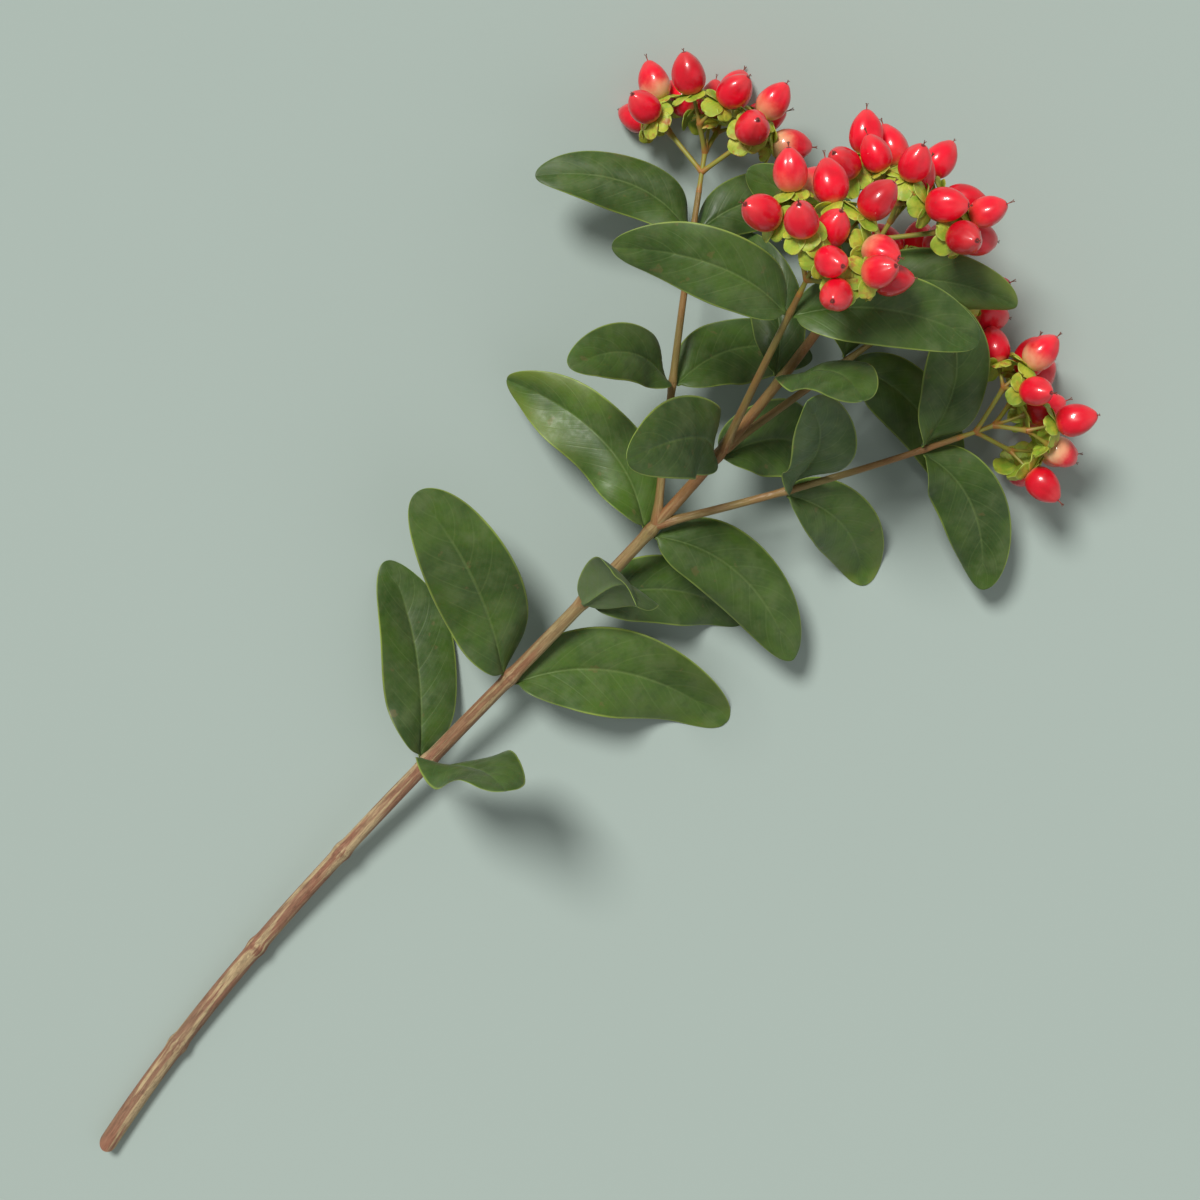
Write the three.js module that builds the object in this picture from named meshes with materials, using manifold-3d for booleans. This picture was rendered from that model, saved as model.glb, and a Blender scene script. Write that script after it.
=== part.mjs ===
// A cut stem of hypericum in fruit, lying on a flat surface: a woody stem with side shoots, opposite leaves,
// and at the end of every shoot a spray of berries, each berry on its own stalk above a green calyx.
// Millimetres, +Z up. The surface is at Z = 0, the cut end lies towards -X and the berries towards +X.
import * as THREE from "three";
import { mergeVertices } from "three/addons/utils/BufferGeometryUtils.js";
import Module from "manifold-3d";

const wasm = await Module();
wasm.setup();

// ---- Driving dimensions ----
const GAP = 0.3; // between pieces that touch
const CENTRE = [169.3, -5.2]; // of the whole outline in X and Y, which goes to the origin

const STEM = {
  path: [[-45, 6, 2.6], [90, 18, 0.2], [232, -16, 27], [345, 0, 46]], // control points of its line
  radius: { cut: 3.0, tip: 1.25 },
  cutSlant: 0.9, // millimetres along the stem for each millimetre across it
  sides: 8,
  rings: 15,
};

// Places along the stem that carry a pair of leaves, and the way each leaf points, in degrees round the stem
// from +Y. A shoot stands between a leaf and the stem, with leaf pairs of its own and a spray at its tip. A
// spray's turn is the angle from upright to the plane of its widest forks.
const NODES = [
  { at: 0.43, pair: [104, 340], leaf: 60 },
  { at: 0.53, pair: [18, 198], leaf: 66 },
  { at: 0.62, pair: [94, 214], leaf: 62 },
  {
    at: 0.7,
    pair: [350, 186],
    leaf: 66,
    shoots: [
      { length: 104, turn: 62, nodes: [{ at: 0.88, pair: [10, 190] }, { at: 0.42, pair: [52, 212] }] },
      { length: 98, turn: 118, nodes: [{ at: 0.88, pair: [28, 190] }, { at: 0.42, pair: [52, 214] }] },
    ],
  },
  {
    at: 0.785,
    pair: [64, 238],
    leaf: 60,
    shoots: [
      { length: 74, turn: 50, nodes: [{ at: 0.88, pair: [8, 186] }] },
      { length: 64, turn: 128, nodes: [{ at: 0.76, pair: [4, 186] }] },
    ],
  },
  { at: 0.87, pair: [107, 323], leaf: 50 },
  { at: 0.965, pair: [20, 184], leaf: 54 },
];
const TOP_TURN = 70; // of the spray at the tip of the stem

const SHOOT = {
  radius: { root: 1.35, tip: 0.9 },
  aboveLeaf: 0.008, // how far up the stem from its leaf it starts, as a share of the stem
  out: 0.55, // how far its tip stands out from the stem, as a share of its length
  along: 0.82, // how far its tip reaches along the stem
  droop: 0.1, // how far a level shoot's tip is pulled down
  lowestTip: 18, // above the surface
  leaf: 52,
  leafSpread: 66, // degrees between the shoot and its leaves
  sides: 6,
  rings: 6,
};

const LEAF = {
  widthShare: 0.39, // of its length
  spread: { plain: 54, underShoot: 76 }, // degrees between the leaf and the stem
  recurve: [16, 8], // degrees less at the base, and more at the tip
  thickness: { rib: 0.9, edge: 0.6 },
  lowest: { middle: 2.5, tip: -3.5 }, // how far a blade hangs before the surface turns it level
  presses: 0.18, // any nearer to the surface and it lies flat on it
  baseHalfWidth: 1.5,
  tipHalfWidth: 0.5,
  steps: 7,
  columns: [-1, -0.5, 0, 0.5, 1],
};

const BERRY = { radius: 4.9, length: 12.4, sides: 8 };
// Points from the foot of the berry to its drawn-out tip: shares of its length and of its radius.
const BERRY_OUTLINE = [[0.06, 0.5], [0.42, 1], [0.8, 0.78], [1.07, 0.08]];
const CALYX = { lobes: [6.8, 5.8, 6.4, 5.5, 6.1], neck: 3.4, thickness: 0.7, fallBack: 0.055 };
const STALK = { radius: 0.55, joint: 0.95, sides: 5 };
// Balls that fill a berry and its calyx: a share of the berry's length up from its foot, and a radius.
const BALLS = [[0, 4.4], [0.38, 5], [0.68, 4.4]];
const CROWDING = { rounds: 60, ease: 0.4 };

// A spray has a middle berry, and two pairs of forks that end in a few berries each.
const SPRAY = {
  berries: { onShoot: [3, 3, 3, 2], onStem: [3, 3, 3, 3] }, // on each fork
  size: [0.9, 1.08], // of a berry, as a share of the usual one
  middle: { at: 12, stalk: 8 },
  low: { at: 5, length: 16, leans: 50, berryLeans: 32 }, // degrees from the spray's middle line
  high: { at: 11, length: 10, leans: 42, berryLeans: 24 },
  stalk: 9.5,
  apart: [50, 58], // degrees between neighbours on a fork
  stalkRadius: { middle: 0.9, fork: 0.7 },
};

const COLOURS = {
  bark: { color: "#7a4a33", roughness: 0.8 },
  leaf: { color: "#31491f", roughness: 0.5 },
  spray: { color: "#cf1f2c", roughness: 0.3 },
};

// ---- Helpers ----
const UP = new THREE.Vector3(0, 0, 1);
const vec = (p) => new THREE.Vector3(...p);
const degrees = THREE.MathUtils.degToRad;
const mix = THREE.MathUtils.lerp;

// The same draws for the same seed.
class Draws {
  constructor(seed) {
    this.state = seed * 7919 + 17;
    this.next();
    this.next();
  }
  next() {
    this.state = (this.state * 16807) % 2147483647;
    return this.state / 2147483647;
  }
  between(low, high) {
    return mix(low, high, this.next());
  }
}

// A point moved by some amount in each of the directions given.
const sum = (start, ...terms) => {
  const total = start.clone();
  for (const [direction, amount] of terms) total.addScaledVector(direction, amount);
  return total;
};

// A direction turned by an angle towards another that is square to it.
const lean = (direction, towards, angle) =>
  sum(new THREE.Vector3(), [direction, Math.cos(degrees(angle))], [towards, Math.sin(degrees(angle))]);

// The part of a direction that is square to an axis.
const square = (direction, axis) => sum(direction, [axis, -direction.dot(axis)]).normalize();

// Keeps a height at or above the floor, bending smoothly where it comes near.
function settle(height, floor, soft = 2) {
  const over = height - floor;
  if (over >= soft) return height;
  return floor + (over <= -soft ? 0 : (over + soft) ** 2 / (4 * soft));
}

// The frame of a curve at a place along it.
function frameAt(curve, t) {
  const along = curve.getTangent(t);
  const up = square(UP, along);
  return { at: curve.getPoint(t), along, up, left: up.clone().cross(along) };
}

const outward = (frame, azimuth) => lean(frame.left, frame.up, azimuth);

function surface(points, faces) {
  const geometry = new THREE.BufferGeometry();
  geometry.setAttribute("position", new THREE.Float32BufferAttribute(points.flatMap((p) => p.toArray()), 3));
  geometry.setIndex(faces);
  return geometry;
}

// A closed surface through rings with the same number of points. turned(j) picks the other diagonal of the
// four-cornered faces after point j.
function loft(rings, turned = () => false) {
  const n = rings[0].length;
  const faces = [];
  for (let i = 0; i + 1 < rings.length; i++) {
    for (let j = 0; j < n; j++) {
      const a = i * n + j;
      const b = i * n + ((j + 1) % n);
      if (turned(j)) faces.push(a, b, a + n, b, b + n, a + n);
      else faces.push(a, b, b + n, a, b + n, a + n);
    }
  }
  const last = (rings.length - 1) * n;
  for (let j = 1; j + 1 < n; j++) faces.push(0, j + 1, j, last, last + j, last + j + 1);
  return surface(rings.flat(), faces);
}

function solid(geometry) {
  const bare = geometry.clone();
  bare.deleteAttribute("normal");
  bare.deleteAttribute("uv");
  const merged = mergeVertices(bare, 1e-4);
  return new wasm.Manifold(
    new wasm.Mesh({
      numProp: 3,
      vertProperties: merged.attributes.position.array,
      triVerts: new Uint32Array(merged.index.array),
    }),
  );
}

function fused(geometries) {
  const mesh = wasm.Manifold.union(geometries.map(solid)).getMesh();
  const geometry = new THREE.BufferGeometry();
  geometry.setAttribute("position", new THREE.BufferAttribute(mesh.vertProperties, 3));
  geometry.setIndex(new THREE.BufferAttribute(mesh.triVerts, 1));
  return geometry;
}

// ---- Stem and shoots ----
// A tube along a curve. The slant shears its first ring, as a slanting cut does.
function limb(curve, radiusAt, sides, rings, slant = 0) {
  const made = [];
  for (let i = 0; i < rings; i++) {
    const t = i / (rings - 1);
    const frame = frameAt(curve, t);
    const ring = [];
    for (let j = 0; j < sides; j++) {
      const side = outward(frame, ((j + 0.5) * 360) / sides);
      const point = sum(frame.at, [side, radiusAt(t)]);
      if (i === 0) point.addScaledVector(frame.along, slant * side.dot(frame.up) * radiusAt(t));
      point.z = Math.max(point.z, 0);
      ring.push(point);
    }
    made.push(ring);
  }
  return loft(made);
}

const stemCurve = new THREE.CubicBezierCurve3(...STEM.path.map(vec));
const stemRadius = (t) => mix(STEM.radius.cut, STEM.radius.tip, t ** 1.3);
const shootRadius = (t) => mix(SHOOT.radius.root, SHOOT.radius.tip, t);

function shootCurve(node, azimuth, length) {
  const frame = frameAt(stemCurve, node.at + SHOOT.aboveLeaf);
  const out = outward(frame, azimuth);
  const tip = sum(frame.at, [out, SHOOT.out * length], [frame.along, SHOOT.along * length]);
  const droop = SHOOT.droop * length * Math.abs(Math.cos(degrees(azimuth)));
  tip.z = Math.max(tip.z - droop, SHOOT.lowestTip);
  const middle = sum(frame.at, [out, 0.3 * length], [frame.along, 0.42 * length]);
  middle.z = Math.max(middle.z, 0.6 * SHOOT.lowestTip);
  return new THREE.QuadraticBezierCurve3(frame.at, middle, tip);
}

// ---- Leaves ----
// Half the blade's width at a place along it, as a share of the widest: blunt at both ends.
const outline = (u) => (u ** 0.45 * (1 - u) ** 0.5) / 0.5176;

// A leaf's midrib and the numbers that shape its blade. The way it points and spreads is in degrees.
function leafPlan(index, frame, radius, azimuth, usualLength, usualSpread) {
  const draws = new Draws(index);
  const out = outward(frame, azimuth);
  const level = Math.abs(Math.cos(degrees(azimuth)));
  const spread = usualSpread + draws.between(-6, 8);
  const length = usualLength * draws.between(0.9, 1.08);
  const curl = draws.between(0.6, 1.6);
  const base = sum(frame.at, [out, radius + GAP + 0.6]);
  const middle = sum(base, [lean(frame.along, out, spread - LEAF.recurve[0] * curl), 0.5 * length]);
  const droop = 0.1 * length * level;
  const tip = sum(base, [lean(frame.along, out, spread + LEAF.recurve[1] * curl), length], [UP, -droop]);
  middle.z = Math.max(middle.z, LEAF.lowest.middle);
  tip.z = Math.max(tip.z, LEAF.lowest.tip);
  return {
    midrib: new THREE.QuadraticBezierCurve3(base, middle, tip),
    inner: lean(frame.along, out, spread - 90),
    facing: 0.85 * Math.sqrt(level),
    halfWidth: 0.5 * length * LEAF.widthShare * draws.between(0.92, 1.1),
    fold: draws.between(0.14, 0.46),
    arch: draws.between(0.1, 0.5),
    wave: draws.between(0.1, 0.28),
    waves: draws.between(0.9, 1.6),
    phase: [draws.between(0, 1), draws.between(0, 1)],
    twist: draws.between(-30, 30),
  };
}

// The directions of the blade at a place along its midrib, from 0 at the base to 1 at the tip. The blade
// turns its upper face from the stem towards the light, and twists about the midrib on the way.
function bladeFrame(plan, u) {
  const along = plan.midrib.getTangent(u);
  const turn = plan.facing * THREE.MathUtils.smoothstep(u, -0.25, 0.3);
  const inner = square(plan.inner, along);
  const normal = square(sum(inner.clone().multiplyScalar(1 - turn), [square(UP, along), turn]), along);
  normal.applyAxisAngle(along, degrees(plan.twist) * u);
  return { at: plan.midrib.getPoint(u), along, normal, side: along.clone().cross(normal) };
}

// A point half way through the blade, v from -1 to 1 across it: folded at the midrib, arched down to the
// edges, and waved along them.
function bladePoint(plan, frame, u, v) {
  const half = Math.max(plan.halfWidth * outline(u), mix(LEAF.baseHalfWidth, LEAF.tipHalfWidth, u));
  const phase = plan.phase[v < 0 ? 0 : 1];
  const grown = THREE.MathUtils.smoothstep(u, 0, 0.3);
  const ripple = plan.wave * grown * Math.sin(2 * Math.PI * (plan.waves * u + phase)) * v * v;
  const rise = half * (plan.fold * Math.abs(v) - plan.arch * v * v + ripple);
  const point = sum(frame.at, [frame.side, half * v], [frame.normal, rise]);
  point.z = settle(point.z, 0.5 * LEAF.thickness.rib);
  return point;
}

function leafGeometry(plan) {
  const rings = [];
  for (let i = 0; i <= LEAF.steps; i++) {
    const u = (1 - Math.cos((Math.PI * i) / LEAF.steps)) / 2;
    const frame = bladeFrame(plan, u);
    const face = (sign) =>
      LEAF.columns.map((v) => {
        const half = 0.5 * mix(LEAF.thickness.rib, LEAF.thickness.edge, Math.abs(v));
        const point = sum(bladePoint(plan, frame, u, v), [frame.normal, sign * half]);
        if (point.z < LEAF.presses) point.z = 0;
        return point;
      });
    rings.push([...face(1), ...face(-1).reverse()]);
  }
  const across = LEAF.columns.length;
  return loft(rings, (j) => j < across - 1);
}

// ---- Sprays ----
// A closed surface through rings of any sizes that run the same way round from about the same angle.
function zipped(rings) {
  const faces = [];
  const starts = [0];
  for (const ring of rings) starts.push(starts.at(-1) + ring.length);
  for (let r = 0; r + 1 < rings.length; r++) {
    const [n, m] = [rings[r].length, rings[r + 1].length];
    const lower = (i) => starts[r] + (i % n);
    const upper = (j) => starts[r + 1] + (j % m);
    for (let i = 0, j = 0; i < n || j < m; ) {
      if (j === m || (i < n && (i + 0.5) / n < (j + 0.5) / m)) faces.push(lower(i), lower(++i), upper(j));
      else faces.push(lower(i), upper(j + 1), upper(j++));
    }
  }
  const last = starts.at(-2);
  for (let j = 1; j + 1 < rings[0].length; j++) faces.push(0, j + 1, j);
  for (let j = 1; j + 1 < rings.at(-1).length; j++) faces.push(last, last + j, last + j + 1);
  return surface(rings.flat(), faces);
}

const polar = (angle, radius, height) =>
  new THREE.Vector3(radius * Math.cos(degrees(angle)), radius * Math.sin(degrees(angle)), height);

const ring = (radius, height, sides) =>
  Array.from({ length: sides }, (_, i) => polar((i * 360) / sides, radius, height));

// The rim of the calyx: five blunt lobes of unequal reach, each fallen back the more the further it reaches.
function calyxRim(lift) {
  return CALYX.lobes.flatMap((reach, i) =>
    [[-0.5, CALYX.neck], [-0.28, reach], [0.28, reach]].map(([turn, radius]) =>
      polar((i + turn) * 72, radius, lift - CALYX.fallBack * radius * radius),
    ),
  );
}

// A stalk, the calyx at its end and the berry above the calyx, standing along Z with the calyx at the origin.
function berryGeometry(size, stalkLength) {
  const rings = [ring(STALK.radius, -stalkLength, STALK.sides), ring(STALK.radius, -0.4, STALK.sides)];
  rings.push(calyxRim(0), calyxRim(CALYX.thickness));
  for (const [up, out] of BERRY_OUTLINE) rings.push(ring(out * BERRY.radius, up * BERRY.length, BERRY.sides));
  rings.slice(2).flat().forEach((point) => point.multiplyScalar(size));
  return zipped(rings);
}

// A straight stalk between two points, swollen at the joint it ends in.
function stalk(from, to, radius) {
  const along = to.clone().sub(from);
  const length = along.length() + STALK.joint;
  const geometry = new THREE.CylinderGeometry(STALK.joint, radius, length, STALK.sides);
  const turn = new THREE.Quaternion().setFromUnitVectors(new THREE.Vector3(0, 1, 0), along.normalize());
  return geometry.applyQuaternion(turn).translate(...sum(from, [along, length / 2]).toArray());
}

// How low a berry and its calyx reach, taken as discs square to their axis.
function lowestPoint(foot, axis, size) {
  const level = Math.sqrt(1 - axis.z ** 2);
  const discs = BERRY_OUTLINE.map(([up, out]) => [up * BERRY.length, out * BERRY.radius]);
  const reach = Math.max(...CALYX.lobes);
  discs.push([-CALYX.fallBack * reach ** 2, reach]);
  return Math.min(...discs.map(([up, radius]) => foot.z + size * (up * axis.z - radius * level)));
}

// A berry at the end of its stalk, and the way it faces.
function berryPlan(draws, from, direction, usualStalk) {
  const size = draws.between(...SPRAY.size);
  const stalkLength = usualStalk * draws.between(0.9, 1.12);
  const foot = sum(from, [direction, stalkLength]);
  return { from, foot, axis: direction.clone(), size, stalkLength, turn: draws.between(0, 72) };
}

// Berries that would touch swing apart on their stalks, and the lowest rise to clear the surface.
function swingApart(berries) {
  const balls = berries.flatMap((berry) =>
    BALLS.map(([up, radius]) => {
      const reach = berry.stalkLength + up * BERRY.length * berry.size;
      return { berry, reach, radius: radius * berry.size };
    }),
  );
  for (let round = 0; round < CROWDING.rounds; round++) {
    for (const ball of balls) ball.at = sum(ball.berry.from, [ball.berry.axis, ball.reach]);
    for (const berry of berries) {
      const low = Math.max(0, -lowestPoint(berry.foot, berry.axis, berry.size));
      const reach = berry.stalkLength + BALLS[1][0] * BERRY.length * berry.size;
      berry.swing = UP.clone().multiplyScalar(low / reach);
    }
    for (const ball of balls) {
      for (const other of balls) {
        const apart = ball.at.clone().sub(other.at);
        const overlap = ball.radius + other.radius - apart.length();
        if (other.berry === ball.berry || overlap <= 0) continue;
        ball.berry.swing.addScaledVector(apart.normalize(), (CROWDING.ease * overlap) / ball.reach);
      }
    }
    for (const berry of berries) {
      berry.axis.add(berry.swing).normalize();
      berry.foot = sum(berry.from, [berry.axis, berry.stalkLength]);
    }
  }
  for (const { from, foot, axis, size } of berries) {
    for (let lifts = 0; lifts < 4; lifts++) {
      foot.z += Math.max(0, -lowestPoint(foot, axis, size));
      axis.copy(foot).sub(from).normalize();
    }
  }
}

// The stalks and berries of a spray. It forks in pairs, each pair square to the last, and every fork ends in
// a middle berry with its neighbours on either side, square to the fork.
function sprayPlan(index, base, axis, turn, counts) {
  const draws = new Draws(200 + index);
  const top = sum(base, [axis, SPRAY.middle.at]);
  const stalks = [{ from: base, to: top, radius: SPRAY.stalkRadius.middle }];
  const berries = [berryPlan(draws, top, axis, SPRAY.middle.stalk)];
  counts.forEach((count, i) => {
    const fork = i < 2 ? SPRAY.low : SPRAY.high;
    const around = turn + (i < 2 ? 0 : 90) + (i % 2 ? 180 : 0);
    const way = square(UP, axis).applyAxisAngle(axis, degrees(around));
    const from = sum(base, [axis, fork.at]);
    const end = sum(from, [lean(axis, way, fork.leans), fork.length * draws.between(0.92, 1.1)]);
    end.z = Math.max(end.z, 4);
    stalks.push({ from, to: end, radius: SPRAY.stalkRadius.fork });
    const direction = lean(axis, way, fork.berryLeans + draws.between(-5, 5));
    const across = direction.clone().cross(way);
    berries.push(berryPlan(draws, end, direction, SPRAY.stalk));
    for (let k = 1; k < count; k++) {
      const angle = (k % 2 ? 1 : -1) * draws.between(...SPRAY.apart);
      berries.push(berryPlan(draws, end, lean(direction, across, angle), SPRAY.stalk));
    }
  });
  return { stalks, berries };
}

function sprayGeometry(plan) {
  const pieces = plan.stalks.map(({ from, to, radius }) => stalk(from, to, radius));
  for (const { from, foot, axis, size, turn } of plan.berries) {
    const place = new THREE.Matrix4()
      .makeRotationFromQuaternion(new THREE.Quaternion().setFromUnitVectors(UP, axis))
      .multiply(new THREE.Matrix4().makeRotationZ(degrees(turn)))
      .setPosition(foot);
    pieces.push(berryGeometry(size, foot.distanceTo(from)).applyMatrix4(place));
  }
  return fused(pieces);
}

// ---- The plant ----
const plant = new THREE.Group();
plant.position.set(-CENTRE[0], -CENTRE[1], 0);

function add(name, geometry, look) {
  const material = new THREE.MeshStandardMaterial({ metalness: 0, flatShading: true, ...look });
  const mesh = new THREE.Mesh(geometry, material);
  mesh.name = name;
  plant.add(mesh);
}

const numbered = (name, i, digits) => `${name}_${String(i + 1).padStart(digits, "0")}`;

const limbs = [limb(stemCurve, stemRadius, STEM.sides, STEM.rings, -STEM.cutSlant)];
const leaves = [];
const sprays = [];

function addLeafPair(frame, radius, pair, length, spread) {
  for (const azimuth of pair) {
    leaves.push(leafPlan(leaves.length + 1, frame, radius, azimuth, length, spread));
  }
}

function addSpray(curve, turn, berries) {
  const frame = frameAt(curve, 1);
  const base = sum(frame.at, [frame.along, GAP + 0.3]);
  sprays.push(sprayPlan(sprays.length + 1, base, frame.along, turn, berries));
}

function addShoot(node, azimuth, { length, turn, nodes }) {
  const curve = shootCurve(node, azimuth, length);
  limbs.push(limb(curve, shootRadius, SHOOT.sides, SHOOT.rings));
  for (const { at, pair } of nodes) {
    addLeafPair(frameAt(curve, at), shootRadius(at), pair, SHOOT.leaf, SHOOT.leafSpread);
  }
  addSpray(curve, turn, SPRAY.berries.onShoot);
}

for (const node of NODES) {
  const spread = node.shoots ? LEAF.spread.underShoot : LEAF.spread.plain;
  addLeafPair(frameAt(stemCurve, node.at), stemRadius(node.at), node.pair, node.leaf, spread);
  node.shoots?.forEach((shoot, i) => addShoot(node, node.pair[i], shoot));
}
addSpray(stemCurve, TOP_TURN, SPRAY.berries.onStem);
swingApart(sprays.flatMap((spray) => spray.berries));

add("stem", fused(limbs), COLOURS.bark);
leaves.forEach((plan, i) => add(numbered("leaf", i, 2), leafGeometry(plan), COLOURS.leaf));
sprays.forEach((plan, i) => add(numbered("spray", i, 1), sprayGeometry(plan), COLOURS.spray));

export default plant;
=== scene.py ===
"""Dresses a cut stem of hypericum in fruit, which lies on a table with its cut end towards -X.

The plan of the plant is in millimetres, and everything that is grown from it is in metres, +Z up.
"""

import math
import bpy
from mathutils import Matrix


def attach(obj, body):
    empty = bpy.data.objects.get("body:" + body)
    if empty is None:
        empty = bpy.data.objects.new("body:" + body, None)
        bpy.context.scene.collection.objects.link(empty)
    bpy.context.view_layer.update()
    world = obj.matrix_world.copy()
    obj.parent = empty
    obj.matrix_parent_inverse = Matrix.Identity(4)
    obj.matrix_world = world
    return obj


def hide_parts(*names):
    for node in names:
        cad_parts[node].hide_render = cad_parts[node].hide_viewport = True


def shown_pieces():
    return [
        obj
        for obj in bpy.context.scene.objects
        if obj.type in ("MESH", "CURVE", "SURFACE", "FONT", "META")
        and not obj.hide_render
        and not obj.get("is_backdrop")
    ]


bl_info = {
    "name": "Hypericum berry stem",
    "version": (1, 0, 0),
    "blender": (4, 5, 0),
    "location": "View3D > Sidebar > Berry stem",
    "description": "Grows the bark, leaves, stalks, calyces, berries and styles of a cut stem of hypericum",
    "category": "Object",
}

from types import SimpleNamespace as Record
from typing import NamedTuple

import bpy
import numpy as np
from bpy.props import FloatProperty, FloatVectorProperty, IntProperty, PointerProperty
from mathutils import Matrix, Quaternion, Vector

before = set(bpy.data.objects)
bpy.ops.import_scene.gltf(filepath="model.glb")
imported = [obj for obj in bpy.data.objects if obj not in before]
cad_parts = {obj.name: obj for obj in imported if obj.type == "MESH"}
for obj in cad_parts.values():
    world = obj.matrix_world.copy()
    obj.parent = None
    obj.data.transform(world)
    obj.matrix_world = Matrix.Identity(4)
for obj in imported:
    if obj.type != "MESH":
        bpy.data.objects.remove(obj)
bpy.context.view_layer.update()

MM = 0.001

# ---- The plan's driving dimensions, in millimetres and degrees ----
GAP = 0.3  # between a leaf or a spray and what it grows from
CENTRE = np.array([169.3, -5.2, 0.0])  # the place in the plan that is the origin here

STEM = Record(
    path=[(-45, 6, 2.6), (90, 18, 0.2), (232, -16, 27), (345, 0, 46)],  # control points of its line
    cut_radius=3.0,
    tip_radius=1.25,
    taper=1.3,
    cut_slant=0.9,  # along the stem for each millimetre across it
)

# Places along the stem that carry a pair of leaves, and the way each leaf points, in degrees round the stem
# from +Y. A shoot stands between a leaf and the stem, with leaf pairs of its own and a spray at its tip. A
# spray's turn is the angle from upright to the plane of its widest forks.
NODES = [
    Record(at=0.43, pair=(104, 340), leaf=60, shoots=[]),
    Record(at=0.53, pair=(18, 198), leaf=66, shoots=[]),
    Record(at=0.62, pair=(94, 214), leaf=62, shoots=[]),
    Record(at=0.7, pair=(350, 186), leaf=66, shoots=[
        Record(length=104, turn=62, nodes=[(0.88, (10, 190)), (0.42, (52, 212))]),
        Record(length=98, turn=118, nodes=[(0.88, (28, 190)), (0.42, (52, 214))]),
    ]),
    Record(at=0.785, pair=(64, 238), leaf=60, shoots=[
        Record(length=74, turn=50, nodes=[(0.88, (8, 186))]),
        Record(length=64, turn=128, nodes=[(0.76, (4, 186))]),
    ]),
    Record(at=0.87, pair=(107, 323), leaf=50, shoots=[]),
    Record(at=0.965, pair=(20, 184), leaf=54, shoots=[]),
]
TOP_TURN = 70  # of the spray at the tip of the stem
BARE_NODES = (0.105, 0.215, 0.325)  # where the lower leaves were stripped off

SHOOT = Record(
    root_radius=1.35,
    tip_radius=0.9,
    taper=1,
    above_leaf=0.008,  # how far up the stem from its leaf it starts, as a share of the stem
    out=0.55,  # how far its tip stands out from the stem, as a share of its length
    along=0.82,  # how far its tip reaches along the stem
    droop=0.1,  # how far a level shoot's tip is pulled down
    middle=(0.3, 0.42),  # how far its middle stands out and reaches along, as shares of its length
    lowest_middle=10.8,
    lowest_tip=18,
    leaf=52,
    leaf_spread=66,
)

LEAF = Record(
    width_share=0.39,  # of its length
    spread=54,  # degrees between the leaf and the stem
    spread_under_shoot=76,
    recurve=(16, 8),  # degrees less at the base, and more at the tip
    lowest_middle=2.5,
    lowest_tip=-3.5,
    base_half_width=1.5,
    tip_half_width=0.25,
    foot=0.6,  # how far out from the gap its blade starts
    heel=0.9,  # how far its base reaches back to the bark
    clasp=0.022,  # the share of it, near the bark, over which it is narrower and thicker
    narrower=0.45,
    thicker=1.3,
    rows=60,
)

BERRY = Record(radius=4.9, length=12.4)
BERRY_OUTLINE = [(0.06, 0.5), (0.42, 1), (0.8, 0.78), (1.07, 0.08)]  # shares of its length and of its radius
CALYX = Record(
    lobes=(6.8, 5.8, 6.4, 5.5, 6.1),  # lengths of its sepals
    sector=72,  # degrees from each to the next
    fall_back=0.055,  # how fast they fall back: millimetres for each square millimetre of reach
    unlike=(0.55, 1.35),  # how far one calyx falls back, as a share of that
)
STYLES_UNLIKE = (0.3, 1.2)  # the length of one berry's styles, as a share of the usual
# Balls that fill a berry and its calyx: the share of its length, and the radius.
BALLS = [(0.0, 4.4), (0.38, 5.0), (0.68, 4.4)]
CROWDING = Record(rounds=60, ease=0.4, lifts=4)

SPRAY = Record(
    foot=0.3,  # how far out from the gap it starts
    on_shoot=(3, 3, 3, 2),  # berries on each fork
    on_stem=(3, 3, 3, 3),
    size=(0.9, 1.08),
    middle=Record(at=12, stalk=8),
    low=Record(at=5, length=16, leans=50, berry_leans=32),
    high=Record(at=11, length=10, leans=42, berry_leans=24),
    stalk=9.5,
    apart=(50, 58),  # degrees between neighbours on a fork
    lowest_fork=4,
)

BARK = Record(
    swollen=2.2,  # how far the swelling at a node reaches along the wood
    scar=0.6,
    shoot_foot=5,  # how far the broad foot of a shoot reaches
    slanted=14,  # how far from the cut its slant fades out
    young_from_to=(0.3, 0.85),  # shares of the stem between which its bark gives way to young skin
)
CUT_RINGS = [  # from the bark in to the pith: share of the radius, and how far proud of the cut
    (0.94, -0.2), (0.94, 0.03), (0.91, 0.08), (0.6, 0.1), (0.22, 0.11), (0.16, 0.04), (0.05, 0.03),
]
STALK = Record(
    step=0.9,  # between the points of its line
    sunk=1.2,  # how far the lowest one starts within the wood
    into_berry=0.3,
    root_reach=1.6,  # how far the swelling at its root reaches, the one under what it carries, and the red
    head_reach=1.5,
    red_reach=2.0,
    fork_ends=1.35,  # how many times thicker than between its ends
    lowest_root=1.25,
    root=1.7,
    head=2.1,
)
LOWEST = Record(cut_face=0.02, leaf=0.02, berry=0.05, calyx=0.1, styles=0.1)  # heights over the floor
SEEDS = Record(sprays=200, berries=500, leaf_tones=900)

UP = np.array([0.0, 0.0, 1.0])


# ---- The plan: lines, leaves and sprays ----
class Draws:
    """The same draws for the same seed."""

    factor = 16807
    modulus = 2147483647

    def __init__(self, seed):
        self.state = seed * 7919 + 17
        self.next()
        self.next()

    def next(self):
        self.state = self.state * self.factor % self.modulus
        return self.state / self.modulus

    def between(self, low, high):
        return low + (high - low) * self.next()


def mix(low, high, share):
    return low + (high - low) * share


def smooth(low, high, value):
    """0 below low and 1 above high, with an even bend between them."""
    share = np.clip((value - low) / (high - low), 0, 1)
    return share * share * (3 - 2 * share)


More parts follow.
